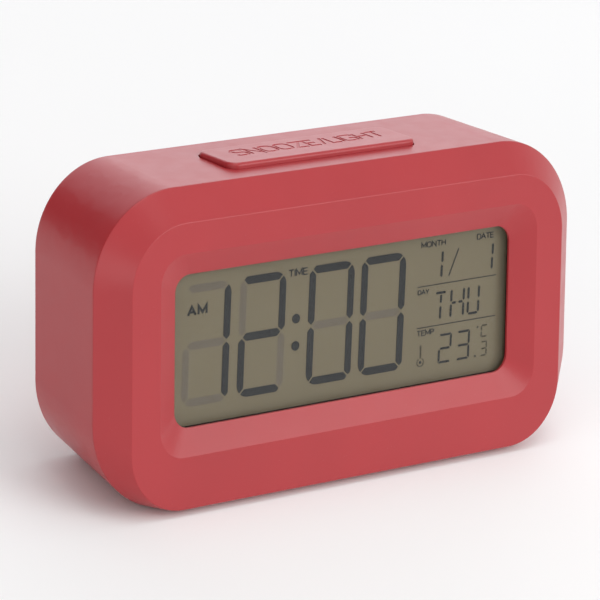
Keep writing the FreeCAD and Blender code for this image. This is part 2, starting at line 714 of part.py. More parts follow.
def add_sounder_cup(body):
    """The ring on the back wall that the sounder plate is glued into, with a step for its edge."""
    ring = sketch_on(body, "cup_outline", "face", "sounder_seat - cup_rise")
    draw_circle(ring, "sounder_x", "sounder_z", "sounder_radius + cup_wall")
    extrude(body, "cup", ring, f"{BACK_INNER} + bite - (sounder_seat - cup_rise)")
    chamber = sketch_on(body, "chamber_outline", "face", "sounder_seat - cup_rise - bite")
    draw_circle(chamber, "sounder_x", "sounder_z", "sounder_radius - cup_wall")
    pocket(body, "chamber", chamber, f"{BACK_INNER} - (sounder_seat - cup_rise - bite)")
    seat = sketch_on(body, "seat_outline", "face", "sounder_seat - cup_rise - bite")
    draw_circle(seat, "sounder_x", "sounder_z", "sounder_radius + sounder_gap")
    pocket(body, "seat", seat, "cup_rise + bite")


def rear_housing():
    body = new_body("rear_housing")
    back = back_outline(body, "back_edge", "case_depth", "0")
    loft(body, "shell", back, seam_outline(body, "seam_edge", "0"))
    soften(body, "back_edges", "back_round", lambda edge: lies_at(edge, "Y", number("case_depth")))
    trim_sole(body)
    inside = back_outline(body, "inner_back_edge", BACK_INNER, "wall")
    loft(body, "hollow", inside, seam_outline(body, "inner_seam_edge", "wall"), cut=True)
    lap = seam_outline(body, "lap_outline", "lap_wall")
    pocket(body, "lap", lap, "lap_depth + bite")

    opening = sketch_on(body, "bar_opening", "plan", "bar_top_rear + past")
    half_u, half_v = "bar_width / 2 + bar_gap", "bar_deep / 2 + bar_gap"
    draw_rounded(opening, half_u, half_v, "bar_corner + bar_gap", "bar_middle", BAR_DEPTH)
    pocket(body, "bar_hole", opening, "bar_top_rear - bar_foot + 2 * past", way=-1)

    posts = four_circles(body, "post_circles", "post_front", "post_x", POST_HEIGHTS, "post_radius")
    extrude(body, "screw_posts", posts, f"{BACK_INNER} + bite - post_front")
    add_battery_bay(body)
    add_sounder_cup(body)
    add_grille(body)
    studs = sketch_on(body, "key_stud_circles", "face", KEY_BOARD_BACK)
    for x in KEY_STUDS:
        draw_circle(studs, x, "key_height", "key_stud")
    extrude(body, "key_studs", studs, f"{BACK_INNER} + bite - {KEY_BOARD_BACK}")
    add_key_openings(body)

    shanks = four_circles(body, "shank_circles", "post_front", "post_x", POST_HEIGHTS, "shank_radius")
    pocket(body, "shank_holes", shanks, "head_seat - post_front + past")
    heads = four_circles(body, "head_circles", "case_depth", "post_x", POST_HEIGHTS, "head_radius + head_gap")
    pocket(body, "head_holes", heads, "case_depth - head_seat", way=-1)
    taps = sketch_on(body, "key_tap_circles", "face", KEY_BOARD_BACK)
    for x in KEY_STUDS:
        draw_circle(taps, x, "key_height", "small_shank")
    pocket(body, "key_stud_pilots", taps, SMALL_PILOT)
    return piece("rear_housing", body)


def battery_door():
    body = new_body("battery_door")
    outline = sketch_on(body, "door_outline", "face", DOOR_FRONT)
    draw_rounded(outline, "door_half", "door_high", "door_corner", "bay_middle", "bay_height")
    extrude(body, "plate", outline, "door_thick")
    back = number(DOOR_BACK)
    soften(body, "plate_edges", "door_round", lambda edge: lies_at(edge, "Y", back))
    tabs = sketch_on(body, "tab_outline", "face", DOOR_FRONT)
    for side in SIDES:
        wide = span(f"bay_middle + {side} * tab_spread", "tab_wide / 2")
        draw_rectangle(tabs, wide, (f"{DOOR_LOW} - tab_reach", f"{DOOR_LOW} + tab_root"))
    extrude(body, "tabs", tabs, "tab_thick")
    door_top = "bay_height + door_high"
    slits = sketch_on(body, "latch_slits", "face", DOOR_BACK)
    for side in SIDES:
        wide = span(f"bay_middle + {side} * latch_half", "slit_half")
        draw_rectangle(slits, wide, (f"{door_top} - latch_long", f"{door_top} + past"))
    pocket(body, "latch", slits, "door_thick + past", way=-1)
    thumb = sketch_on(body, "thumb_outline", "face", DOOR_BACK)
    middle = f"{door_top} - latch_long / 2"
    draw_rounded(thumb, "thumb_wide", "thumb_high", "thumb_high - key_flat", "bay_middle", middle)
    pocket(body, "thumb_dip", thumb, "thumb_deep", way=-1)
    return piece("battery_door", body)


# ---------------------------------------------------------------- snooze bar


def snooze_bar():
    """A hollow bar with a post that meets the switch, and a hook at each end that keeps it in."""
    body = new_body("snooze_bar")
    left = "(bar_middle - bar_width / 2)"
    profile = sketch_on(body, "bar_profile", "side", left)
    corners = [("bar_front", "bar_foot"), (BAR_BACK, "bar_foot")]
    corners += [(BAR_BACK, "bar_top_rear"), ("bar_front", "bar_top_front")]
    draw_polygon(profile, corners)
    extrude(body, "bar", profile, "bar_width")
    soften(body, "corners", "bar_corner", lambda e: e.BoundBox.ZLength > 4 and e.BoundBox.YLength < 0.01)
    top = number("bar_top_front - bite")
    soften(body, "top_edges", "bar_round", lambda e: e.BoundBox.ZMin > top)

    half_u, half_v = "bar_width / 2 - bar_wall", "bar_deep / 2 - bar_wall"
    ceiling = "bar_top_front - bar_wall"
    hollow = sketch_on(body, "bar_hollow", "plan", "bar_foot")
    draw_rounded(hollow, half_u, half_v, "bar_inner_corner", "bar_middle", BAR_DEPTH)
    pocket(body, "underside", hollow, f"{ceiling} - bar_foot")
    post = sketch_on(body, "post_outline", "plan", "press_height")
    draw_rectangle(post, span("bar_middle", "bar_post_wide"), span(PRESS_DEPTH, "bar_post_deep"))
    extrude(body, "post", post, f"{ceiling} + bite - press_height")
    ribs = sketch_on(body, "rib_outline", "plan", "bar_foot + rib_lift")
    for side in SIDES:
        wide = span(f"bar_middle + {side} * bar_width / 4", "bar_rib")
        draw_rectangle(ribs, wide, span(BAR_DEPTH, f"{half_v} + bite"))
    extrude(body, "ribs", ribs, f"{ceiling} + bite - bar_foot - rib_lift")
    hooks = sketch_on(body, "hook_outline", "plan", "bar_foot")
    for side in SIDES:
        middle = f"bar_middle + {side} * (bar_width + hook_reach - hook_root) / 2"
        draw_rectangle(hooks, span(middle, "(hook_reach + hook_root) / 2"), span(BAR_DEPTH, "hook_half"))
    extrude(body, "hooks", hooks, "hook_top - bar_foot")
    return piece("snooze_bar", body)


def snooze_switch():
    """The upright push switch on the main board's back, and the plunger that the bar's post bears on."""
    wide = span("bar_middle", "switch_half")
    deep = (BOARD_BACK, f"{BOARD_BACK} + 2 * switch_thick")
    housing = block("snooze_switch_case", wide, deep, ("push_low", "push_high"))
    where = ("bar_middle", PRESS_DEPTH, "push_high - push_bore")
    bore = rod("snooze_switch_bore", "z", *where, "plunger_bore", "push_bore + past")
    piece("snooze_switch", cut_from("snooze_switch", housing, bore))
    where = ("bar_middle", PRESS_DEPTH, "push_high - push_seated")
    length = "press_height - push_high + push_seated"
    plunger = rod("snooze_plunger", "z", *where, "plunger_radius", length)
    return piece("snooze_plunger", plunger)


# ---------------------------------------------------------------- display


def display():
    """The glass stack, from the front: polariser, glass, liquid crystal, glass, polariser, light guide."""
    wide_film = span("0", "film_half")
    wide_glass = span("0", "glass_half")
    tall_film = ("film_bottom", "film_top")
    rear_low = "glass_bottom + ledge_height"
    layers = [
        ("front_polarizer", wide_film, tall_film, "film"),
        ("front_glass", wide_glass, ("glass_bottom", "glass_top"), "glass"),
        ("liquid_crystal", wide_film, tall_film, "crystal_layer"),
        ("rear_glass", wide_glass, (rear_low, "glass_top"), "glass"),
        ("rear_polarizer", wide_film, tall_film, "film"),
        ("light_guide", span("0", "guide_half"), ("guide_bottom", "guide_top"), "guide_thick"),
        ("reflector_sheet", span("0", "guide_half"), ("guide_bottom", "guide_top"), "film"),
    ]
    front = "stack_front"
    for name, wide, tall, thick in layers:
        back = f"{front} + {thick}"
        piece(name, block(name, wide, (front, back), tall))
        front = back

    deep = ("stack_front + film + glass", "board_front")
    tall = ("glass_bottom", f"{rear_low} - bed_gap")
    piece("zebra_strip", block("zebra_strip", span("0", "zebra_half"), deep, tall))
    body = new_body("display_holder")
    outline = sketch_on(body, "holder_outline", "face", "holder_front")
    draw_rounded(outline, "holder_half", "holder_high", "holder_corner")
    extrude(body, "frame", outline, "board_front - holder_front")
    stack_back = "stack_front + 2 * film + 2 * glass + crystal_layer"
    through = "board_front + past"
    low = "glass_bottom - bed_gap"
    beds = (
        ("glass_bed", "glass_half + bed_gap", low, "glass_top + bed_gap", stack_back),
        ("light_bed", "guide_half + lamp_bay", "guide_bottom - bed_gap", "guide_top + bed_gap", through),
        ("zebra_bed", "zebra_half + bed_gap", low, f"{rear_low} - bed_gap / 2", through),
    )
    for name, half, low, high, back in beds:
        bed = sketch_on(body, f"{name}_outline", "face", "holder_front")
        draw_rectangle(bed, span("0", half), (low, high))
        pocket(body, name, bed, f"{back} - holder_front")
    piece("display_holder", body)

    lamps = []
    for side in SIDES:
        wide = span(f"{side} * (guide_half + lamp_half + bite)", "lamp_half")
        deep = (f"{stack_back} + bed_gap", "board_front")
        lamps.append(block("lamp", wide, deep, span("0", "lamp_high")))
    return piece("backlight_leds", grouped("backlight_leds", *lamps))


# ---------------------------------------------------------------- electronics


def main_board():
    body = new_body("main_board")
    outline = sketch_on(body, "board_outline", "face", "board_front")
    draw_rounded(outline, "board_half", "board_high", "board_corner")
    extrude(body, "laminate", outline, "board_thick")
    holes = four_circles(body, "hole_circles", "board_front", "board_screw_x", STUD_HEIGHTS, "small_shank")
    pocket(body, "holes", holes, "board_thick + past")
    return piece("main_board", body)


# A screw's cross: its depth as a share of the head's thickness, and half its length and width of its radius.
CROSS_DEEP, CROSS_LONG, CROSS_THIN = 0.45, 0.62, 0.14


def round_head_screw(name, x, z, tip, seat, way, shank, head, thick):
    """A screw along y: its shank from tip to seat, and its head beyond the seat, with a cross in it."""
    low = tip if way > 0 else seat
    length = f"{way} * ({seat} - ({tip}))"
    body = rod(f"{name}_shank", "y", x, low, z, shank, length)
    head_low = seat if way > 0 else f"{seat} - ({thick})"
    top = rod(f"{name}_head", "y", x, head_low, z, head, thick)
    dent = f"{CROSS_DEEP} * ({thick})"
    outer = (f"{seat} + {thick} - {dent}", f"{seat} + {thick} + past")
    if way < 0:
        outer = (f"{seat} - ({thick}) - past", f"{seat} - ({thick}) + {dent}")
    long, thin = f"{CROSS_LONG} * {head}", f"{CROSS_THIN} * {head}"
    cross = [
        block(f"{name}_slot_u", span(x, long), outer, span(z, thin)),
        block(f"{name}_slot_v", span(x, thin), outer, span(z, long)),
    ]
    return cut_from(name, fused(f"{name}_blank", body, top), *cross)


SMALL_SCREW = ("small_shank", "small_head", "small_head_thick")


def screws():
    case_set, board_set = [], []
    for side in SIDES:
        for height in POST_HEIGHTS:
            x = f"{side} * post_x"
            shape = ("screw_reach", "head_seat", 1, "shank_radius", "head_radius", "head_thick")
            case_set.append(round_head_screw("case_screw", x, height, *shape))
        for height in STUD_HEIGHTS:
            x = f"{side} * board_screw_x"
            shape = (f"{BOARD_BACK} - small_reach", BOARD_BACK, 1, *SMALL_SCREW)
            board_set.append(round_head_screw("board_screw", x, height, *shape))
    piece("case_screws", grouped("case_screws", *case_set))
    piece("board_screws", grouped("board_screws", *board_set))
    shape = ("key_board_front + small_reach", "key_board_front", -1, *SMALL_SCREW)
    key_set = [round_head_screw("key_board_screw", x, "key_height", *shape) for x in KEY_STUDS]
    return piece("key_board_screws", grouped("key_board_screws", *key_set))


CHIPS = 8


def board_parts():
    """What is soldered to the back of the main board."""
    ball_radius = "(dome_radius * dome_radius + dome_height * dome_height) / (2 * dome_height)"
    ball = doc.addObject("Part::Sphere", "chip_ball")
    ball.setExpression("Radius", formula(ball_radius))
    ball.setExpression("Placement", place(0, f"{BOARD_BACK} + dome_height - {ball_radius}", 0))
    dome = doc.addObject("Part::Common", "driver_chip")
    dome.Base = ball
    deep = (BOARD_BACK, f"{BOARD_BACK} + dome_height + past")
    dome.Tool = block("chip_cut", span("0", "dome_radius + past"), deep, span("0", "dome_radius + past"))
    piece("driver_chip", dome)

    lies = f"{BOARD_BACK} + crystal_radius + bite"
    can = rod("crystal_can", "x", "crystal_x", lies, "crystal_z", "crystal_radius", "crystal_long")
    legs = []
    for side in SIDES:
        where = ("crystal_x + crystal_long - bite", lies, f"crystal_z + {side} * crystal_spread")
        legs.append(rod("crystal_leg", "x", *where, "crystal_leg_radius", "crystal_leg"))
    piece("watch_crystal", fused("watch_crystal", can, *legs))

    can = rod("capacitor_can", "y", "can_x", f"{BOARD_BACK} + can_foot", "can_z", "can_radius", "can_height")
    foot = rod("capacitor_foot", "y", "can_x", BOARD_BACK, "can_z", "can_foot_radius", "can_foot + bite")
    piece("capacitor", fused("capacitor", can, foot))

    chips = []
    for i in range(CHIPS):
        wide = span(f"chip_first + {i} * chip_pitch", "chip_half")
        tall = span(f"chip_row + {1 - 2 * (i % 2)} * chip_stagger", "chip_high")
        chips.append(block("chip", wide, (BOARD_BACK, f"{BOARD_BACK} + chip_high"), tall))
    piece("chip_components", grouped("chip_components", *chips))

    wide, tall = span("transistor_x", "transistor_half"), span("transistor_z", "transistor_high")
    case = block("transistor_case", wide, (BOARD_BACK, f"{BOARD_BACK} + transistor_thick"), tall)
    legs = []
    for across, side in ((-1, -1), (1, -1), (0, 1)):
        wide = span(f"transistor_x + {across} * pin_pitch", "pin_half")
        tall = span(f"transistor_z + {side} * (transistor_high + pin_long - bite)", "pin_long")
        legs.append(block("transistor_leg", wide, (BOARD_BACK, f"{BOARD_BACK} + pin_thick"), tall))
    piece("sounder_transistor", fused("sounder_transistor", case, *legs))

    where = ("thermistor_x", f"{BOARD_BACK} + bead_lift", "thermistor_z")
    bead = rod("thermistor_bead", "z", *where, "bead_radius", "bead_long")
    legs = []
    for side in SIDES:
        where = (f"thermistor_x + {side} * bead_spread", BOARD_BACK, "thermistor_z + bead_long / 3")
        legs.append(rod("thermistor_leg", "y", *where, "pin_half", "bead_lift"))
    return piece("thermistor", fused("thermistor", bead, *legs))


KEYS = ("mode_key", "set_key", "up_key", "down_key")
KEY_STUDS = ("key_board_left + key_stud_inset", "key_board_right - key_stud_inset")


def key_board():
    """The small board behind the keys, with the four push switches and the slide switch."""
    wide = ("key_board_left", "key_board_right")
    plate = block("key_plate", wide, ("key_board_front", KEY_BOARD_BACK), span("key_height", "key_board_high"))
    holes = []
    for x in KEY_STUDS:
        where = (x, "key_board_front - past", "key_height")
        holes.append(rod("key_plate_hole", "y", *where, "small_shank", "board_thick + 2 * past"))
    piece("key_board", cut_from("key_board", plate, *holes))

    switches = []
    for i in range(len(KEYS)):
        x = f"key_first + {i} * key_pitch"
        wide, tall = span(x, "switch_half"), span("key_height", "switch_half")
        case = block("key_switch_case", wide, (KEY_BOARD_BACK, SWITCH_BACK), tall)
        where = (x, f"{SWITCH_BACK} - key_bore", "key_height")
        bore = rod("key_switch_bore", "y", *where, "plunger_bore", "key_bore + past")
        switches.append(cut_from("key_switch", case, bore))
    piece("key_switches", grouped("key_switches", *switches))

    wide, tall = span("knob_middle", "slider_half"), span("key_height", "slider_high")
    case = block("slider_case", wide, (KEY_BOARD_BACK, SWITCH_BACK), tall)
    wide = span("knob_middle", "knob_travel / 2 + lever_half + lever_gap")
    deep = (f"{SWITCH_BACK} - way_deep", f"{SWITCH_BACK} + past")
    way = block("slider_way", wide, deep, span("key_height", "lever_half + lever_gap"))
    return piece("alarm_switch", cut_from("alarm_switch", case, way))


def key(name, index):
    """A key with its flange inside the back wall, and the switch plunger in front of it."""
    x = f"key_first + {index} * key_pitch"
    body = new_body(name)
    flange = sketch_on(body, "flange_outline", "face", f"{FLANGE_BACK} - key_flange")
    half_u, half_v = "key_half_wide + key_flange", "key_half_high + key_flange"
    draw_rounded(flange, half_u, half_v, "key_flange", x, "key_height")
    extrude(body, "flange", flange, "key_flange")
    cap = sketch_on(body, "cap_outline", "face", FLANGE_BACK)
    draw_rounded(cap, "key_half_wide", "key_half_high", "key_half_high - key_flat", x, "key_height")
    extrude(body, "cap", cap, f"case_depth + key_proud - {FLANGE_BACK}")
    outer = number("case_depth + key_proud")
    soften(body, "cap_edges", "key_round", lambda edge: lies_at(edge, "Y", outer))
    piece(name, body)

    start = f"({SWITCH_BACK} - key_seated)"
    length = f"{FLANGE_BACK} - key_flange - {start}"
    plunger = rod(f"{name}_plunger", "y", x, start, "key_height", "plunger_radius", length)
    return piece(name.replace("_key", "_plunger"), plunger)


def alarm_knob():
    """The slide knob, drawn at the left end of its travel, and the switch lever that its back holds."""
    x = "(knob_middle - knob_travel / 2)"
    body = new_body("alarm_knob")
    flange = sketch_on(body, "flange_outline", "face", f"{FLANGE_BACK} - key_flange")
    draw_rounded(flange, "knob_flange", "knob_high + knob_rim", "knob_corner", x, "key_height")
    extrude(body, "flange", flange, "key_flange")
    cap = sketch_on(body, "cap_outline", "face", FLANGE_BACK)
    draw_rounded(cap, "knob_half", "knob_high", "knob_corner", x, "key_height")
    extrude(body, "cap", cap, f"case_depth + key_proud - {FLANGE_BACK}")
    grip = sketch_on(body, "grip_outline", "face", "case_depth + key_proud")
    for i in (-1, 0, 1):
        wide = span(f"{x} + {i} * groove_pitch", "groove_half")
        draw_rectangle(grip, wide, span("key_height", "knob_high + past"))
    pocket(body, "grip", grip, "groove_deep", way=-1)
    hold = sketch_on(body, "lever_outline", "face", f"{FLANGE_BACK} - key_flange")
    wide, tall = span(x, "lever_half"), span("key_height", "lever_half")
    draw_rectangle(hold, wide, tall)
    pocket(body, "lever_hole", hold, "lever_hole")
    piece("alarm_knob", body)
    deep = (f"{SWITCH_BACK} - lever_seated", f"{FLANGE_BACK} - key_flange + lever_hole")
    return piece("switch_lever", block("switch_lever", wide, deep, tall))


def sounder():
    """A brass plate with a ceramic disc, glued into the cup on the back wall."""
    where = ("sounder_x", "sounder_seat - sounder_thick", "sounder_z")
    piece("sounder_plate", rod("sounder_plate", "y", *where, "sounder_radius", "sounder_thick"))
    where = ("sounder_x", "sounder_seat - 2 * sounder_thick", "sounder_z")
    return piece("sounder_ceramic", rod("sounder_ceramic", "y", *where, "ceramic_radius", "sounder_thick"))


# ---------------------------------------------------------------- batteries


CELLS = (("upper_cell", 1, 1), ("middle_cell", 0, -1), ("lower_cell", -1, 1))
BAY_LEFT = "(bay_middle - bay_long / 2)"
BAY_RIGHT = "(bay_middle + bay_long / 2)"


def cell_end(pole):
    """The x of a cell's nub end, by the side that its positive pole points to."""
    return f"({BAY_RIGHT} - contact_thick)" if pole > 0 else f"({BAY_LEFT} + contact_thick)"


def cell_heel(pole):
    """The x of its flat end, which the spring presses on."""
    return f"({cell_end(pole)} - {pole} * cell_length)"


def cells():
    for name, step, pole in CELLS:
        height = f"bay_height + {step} * cell_pitch"
        low = cell_heel(pole) if pole > 0 else f"{cell_end(pole)} + nub_length"
        can = rod(f"{name}_can", "x", low, "cell_depth", height, "cell_radius", "cell_length - nub_length")
        nub_low = f"{cell_end(pole)} - nub_length" if pole > 0 else cell_end(pole)
        nub = rod(f"{name}_nub", "x", nub_low, "cell_depth", height, "nub_radius", "nub_length")
        piece(name, fused(name, can, nub))


def coil_shape(pole, step):
    """A conical spring from its plate to the flat end of a cell, as quarter turns of a widening helix."""
    wire = number("spring_wire")
    small, large = number("spring_small"), number("spring_large")
    heel = number(cell_heel(pole)) - pole * wire
    plate = number(BAY_LEFT if pole > 0 else BAY_RIGHT) + pole * (number("contact_thick") + wire)
    turns = number("spring_turns")

    def spot(share):
        radius, angle = small + (large - small) * share, 2 * math.pi * turns * share
        return Vector(radius * math.cos(angle), radius * math.sin(angle), abs(heel - plate) * share)

    quarters = round(4 * turns)
    path = []
    for i in range(quarters):
        bend = Part.Arc(spot(i / quarters), spot((i + 0.5) / quarters), spot((i + 1) / quarters))
        path.append(bend.toShape())
    away = path[0].tangentAt(path[0].FirstParameter)
    section = Part.Wire([Part.Edge(Part.Circle(spot(0), away, wire))])
    coil = Part.Wire(path).makePipeShell([section], True, False)
    height = number("bay_height") + step * number("cell_pitch")
    where = Vector(heel, number("cell_depth"), height)
    coil.Placement = Placement(where, Rotation(Vector(0, 1, 0), -90 * pole))
    return coil


def contact(label, plates, coils, tag):
    """A bent strip: a plate over each cell end it touches, its springs, and a tag where a lead is soldered."""
    left_side = plates[0][0] < 0
    x = (BAY_LEFT, f"{BAY_LEFT} + contact_thick") if left_side else (f"{BAY_RIGHT} - contact_thick", BAY_RIGHT)
    low, high = min(step for _, step in plates), max(step for _, step in plates)
    bottom, top = f"bay_height + ({low}) * cell_pitch", f"bay_height + ({high}) * cell_pitch"
    tall = (f"{bottom} - contact_high", f"{top} + contact_high")
    foot = "bay_floor + contact_foot"
    shapes = [block(f"{label}_plate", x, (foot, "cell_depth + contact_deep"), tall)]
    if tag:
        deep = ("bay_floor + bite", f"{foot} + bite")
        shapes.append(block(f"{label}_tag", x, deep, span(bottom, "tag_half")))
    strip = fused(f"{label}_strip", *shapes) if len(shapes) > 1 else shapes[0]
    springs = [coded(f"{label}_coil", coil_shape(pole, step)) for pole, step in coils]
    if not springs:
        return piece(label, strip)
    return piece(label, grouped(label, strip, *springs))


def contacts():
    contact("positive_contact", [(1, -1)], [], True)
    contact("negative_contact", [(-1, 1)], [(1, 1)], True)
    contact("upper_link_contact", [(1, 0), (1, 1)], [(-1, 0)], False)
    contact("lower_link_contact", [(-1, -1), (-1, 0)], [(1, -1)], False)


# ---------------------------------------------------------------- wires


def wire_shape(points, radius):
    """A round wire through points, with each bend as large an arc as its two runs allow."""
    path, start = [], points[0]
    for i in range(1, len(points) - 1):
        before, here, after = points[i - 1], points[i], points[i + 1]
        back, on = (before - here), (after - here)
        turn = math.pi - back.getAngle(on)
        run = 0.45 * min(back.Length, on.Length)
        back.normalize()
        on.normalize()
        enter, leave = here + back * run, here + on * run
        middle = (back + on).normalize()
        bend = run / math.tan(turn / 2)
        crown = here + middle * (bend / math.cos(turn / 2) - bend)
        path += [Part.LineSegment(start, enter).toShape(), Part.Arc(enter, crown, leave).toShape()]
        start = leave
    path.append(Part.LineSegment(start, points[-1]).toShape())
    line = Part.Wire(path)
    away = points[1] - points[0]
    section = Part.Wire([Part.Edge(Part.Circle(points[0], away, radius))])
    made = line.makePipeShell([section], True, False)
    expected = math.pi * radius**2 * line.Length
    if abs(made.Volume - expected) > 0.03 * expected:
        raise RuntimeError("a wire's volume is not its section times its length")
    return made


STRANDS = 8


def leads():
    """The battery leads, the sounder's two leads, and the flat cable between the boards."""
    board, floor = number(BOARD_BACK), number("bay_floor - bay_wall")
    radius = number("lead_radius")
    left, right = number(f"{BAY_LEFT} + contact_thick / 2"), number(f"{BAY_RIGHT} - contact_thick / 2")
    upper, lower = number("bay_height + cell_pitch"), number("bay_height - cell_pitch")
    red = [Vector(right, floor, lower), Vector(right, board + 4.8, lower)]
    red += [Vector(34, board + 3.4, lower - 4), Vector(34, board, lower - 4)]
    piece("positive_lead", coded("positive_lead", wire_shape(red, radius)))
    black = [Vector(left, floor, upper), Vector(left, board + 4.8, upper)]
    black += [Vector(-31, board + 3.4, upper + 4), Vector(-31, board, upper + 4)]
    piece("negative_lead", coded("negative_lead", wire_shape(black, radius)))

    x, z = number("sounder_x"), number("sounder_z")
    back = number("sounder_seat - 2 * sounder_thick")
    pair = []
    for side in SIDES:
        start = Vector(x + 2.2 * side, back, z + 2 * side)
        low = z - 13 + 2 * side
        route = [start, start + Vector(0, -4.4, 0), start + Vector(0.5, -8.6, -5.5)]
        route += [Vector(start.x, board + 4.6, low), Vector(start.x, board, low)]
        pair.append(coded("sounder_lead", wire_shape(route, number("sounder_lead"))))
    piece("sounder_leads", grouped("sounder_leads", *pair))

    strands = []
    low, high = 15.2, number("key_height - key_board_high") + 1.2
    for i in range(STRANDS):
        x = number(f"strand_middle + {i - (STRANDS - 1) / 2} * strand_pitch")
        end = Vector(x, number("key_board_front"), high)
        route = [Vector(x, board, low), Vector(x, board + 2.8, low), Vector(x, board + 6.0, high + 1.4)]
        route += [end - Vector(0, 2.8, 0), end]
        strands.append(coded("cable_strand", wire_shape(route, number("strand_radius"))))
    return piece("key_cable", grouped("key_cable", *strands))


# ---------------------------------------------------------------- build, check and write


def build():
    front_bezel()
    rear_housing()
    battery_door()
    snooze_bar()
    snooze_switch()
    display()
    main_board()
    screws()
    board_parts()
    key_board()
    for index, name in enumerate(KEYS):
        key(name, index)
    alarm_knob()
    sounder()
    cells()
    contacts()
    leads()
    doc.recompute()


def check():
    """Stops before anything is written if a feature failed or a piece has no valid solid."""
    for thing in doc.Objects:
        if "Invalid" in thing.State or "Error" in thing.State:
            raise RuntimeError(f"{thing.Name} failed: {thing.State}")
    for made in pieces:
        shape = made.Shape
        if shape.isNull() or not shape.isValid() or not shape.Solids:
            raise RuntimeError(f"{made.Label} has no valid solid")


def write():
    os.makedirs("parts", exist_ok=True)
    whole = FreeCAD.BoundBox()
    for made in pieces:
        made.Shape.exportStep(os.path.join("parts", f"{made.Label}.step"))
        whole.add(made.Shape.BoundBox)
    print(f"{len(pieces)} nodes, {sum(len(made.Shape.Solids) for made in pieces)} solids")
    for axis in "XYZ":
        print(axis, f"{getattr(whole, axis + 'Min'):.2f}", f"{getattr(whole, axis + 'Max'):.2f}")


build()
check()
write()
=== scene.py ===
import json
import math

import bmesh
import bpy
from mathutils import Matrix, Vector


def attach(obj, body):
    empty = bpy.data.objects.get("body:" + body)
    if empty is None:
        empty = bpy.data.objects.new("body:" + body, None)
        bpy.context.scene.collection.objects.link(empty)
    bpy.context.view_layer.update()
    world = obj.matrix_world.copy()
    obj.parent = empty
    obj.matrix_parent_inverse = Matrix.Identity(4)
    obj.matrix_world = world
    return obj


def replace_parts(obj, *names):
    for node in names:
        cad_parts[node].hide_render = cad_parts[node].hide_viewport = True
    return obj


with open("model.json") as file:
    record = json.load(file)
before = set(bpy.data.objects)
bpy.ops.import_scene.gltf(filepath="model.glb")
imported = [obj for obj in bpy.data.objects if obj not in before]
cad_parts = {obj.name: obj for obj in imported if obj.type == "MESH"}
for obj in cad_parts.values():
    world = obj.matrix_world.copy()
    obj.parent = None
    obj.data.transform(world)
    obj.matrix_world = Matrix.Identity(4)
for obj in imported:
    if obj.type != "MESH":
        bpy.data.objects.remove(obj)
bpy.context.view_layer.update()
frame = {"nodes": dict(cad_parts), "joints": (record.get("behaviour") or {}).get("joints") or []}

# ------------------------------------------------------------------ the face frame
# The clock's details are drawn upright in millimetres: x to the right, y from the front face to the back, and
# z up from the middle of the display's holder. FACE leans that back onto the table, in metres.

MM = 0.001


def extent(node, axes):
    """A node's lowest and highest corner along other axes; axes is the matrix that leads to them."""
    places = zip(*(axes @ vertex.co for vertex in frame["nodes"][node].data.vertices))
    ranges = [(min(values), max(values)) for values in places]
    return Vector([low for low, high in ranges]), Vector([high for low, high in ranges])


# The snooze bar is pressed straight down along the face, so its axis gives the lean.
press = next(joint for joint in frame["joints"] if joint["name"] == "snooze_press")
UPRIGHT = Matrix.Rotation(math.atan2(-press["axis"][1], -press["axis"][2]), 4, "X")
bezel_front = extent("front_bezel", UPRIGHT)[0].y
holder_low, holder_high = extent("display_holder", UPRIGHT)
FACE_MIDDLE = Vector((0, bezel_front, (holder_low.z + holder_high.z) / 2))
FACE = UPRIGHT.inverted() @ Matrix.Translation(FACE_MIDDLE) @ Matrix.Scale(MM, 4)


def face_box(node):
    """A node's lowest and highest corner in the face frame's millimetres."""
    return extent(node, FACE.inverted())


# ------------------------------------------------------------------ materials


class Nodes:
    """A material's node tree, with its coordinates in millimetres."""

    def __init__(self, name):
        self.material = bpy.data.materials.new(name)
        self.material.use_nodes = True
        self.tree = self.material.node_tree
        self.tree.nodes.clear()
        self.output = self.add("OutputMaterial")
        millimetres = {"Vector": self.add("TexCoord").outputs["Object"], "Scale": (1 / MM,) * 3}
        self.place = self.feed(self.add("Mapping"), millimetres).outputs["Vector"]

    def add(self, kind, **settings):
        node = self.tree.nodes.new(f"ShaderNode{kind}")
        for key, value in settings.items():
            setattr(node, key, value)
        return node

    def link(self, source, target):
        self.tree.links.new(source, target)

    def feed(self, node, values):
        """Sets or links a node's inputs, given by name or number."""
        for key, value in values.items():
            socket = node.inputs[key]
            if isinstance(value, bpy.types.NodeSocket):
                self.link(value, socket)
            else:
                socket.default_value = value
        return node

    def noise(self, scale, detail=2.0, stretch=None):
        """Noise with about scale features per millimetre."""
        place = self.place
        if stretch:
            place = self.feed(self.add("Mapping"), {"Vector": place, "Scale": stretch}).outputs["Vector"]
        node = self.add("TexNoise")
        return self.feed(node, {"Vector": place, "Scale": scale, "Detail": detail}).outputs["Fac"]

    def ramp(self, value, low, high, to_low=0.0, to_high=1.0):
        """Turns the range low to high into to_low to to_high, with the values beyond it held."""
        node = self.add("MapRange")
        return self.feed(node, {0: value, 1: low, 2: high, 3: to_low, 4: to_high}).outputs[0]

    def maths(self, operation, a, b=0.0):
        node = self.add("Math", operation=operation)
        return self.feed(node, {0: a, 1: b}).outputs[0]

    def blend(self, share, a, b):
        node = self.add("Mix", data_type="RGBA")
        return self.feed(node, {0: share, 6: a, 7: b}).outputs[2]

    def bump(self, height, depth):
        """Relief of that depth in millimetres."""
        node = self.add("Bump")
        return self.feed(node, {"Height": height, "Distance": depth * MM, "Strength": 1.0}).outputs["Normal"]

    def finish(self, shader):
        """Makes a shader node the material's surface, and returns the material."""
        self.link(shader.outputs[0], self.output.inputs["Surface"])
        return self.material

    def surface(self, **values):
        """The principled shader as the surface, with its values set by input name."""
        named = {key.replace("_", " "): value for key, value in values.items()}
        return self.finish(self.feed(self.add("BsdfPrincipled"), named))


def rgb(red, green, blue):
    return (red, green, blue, 1.0)


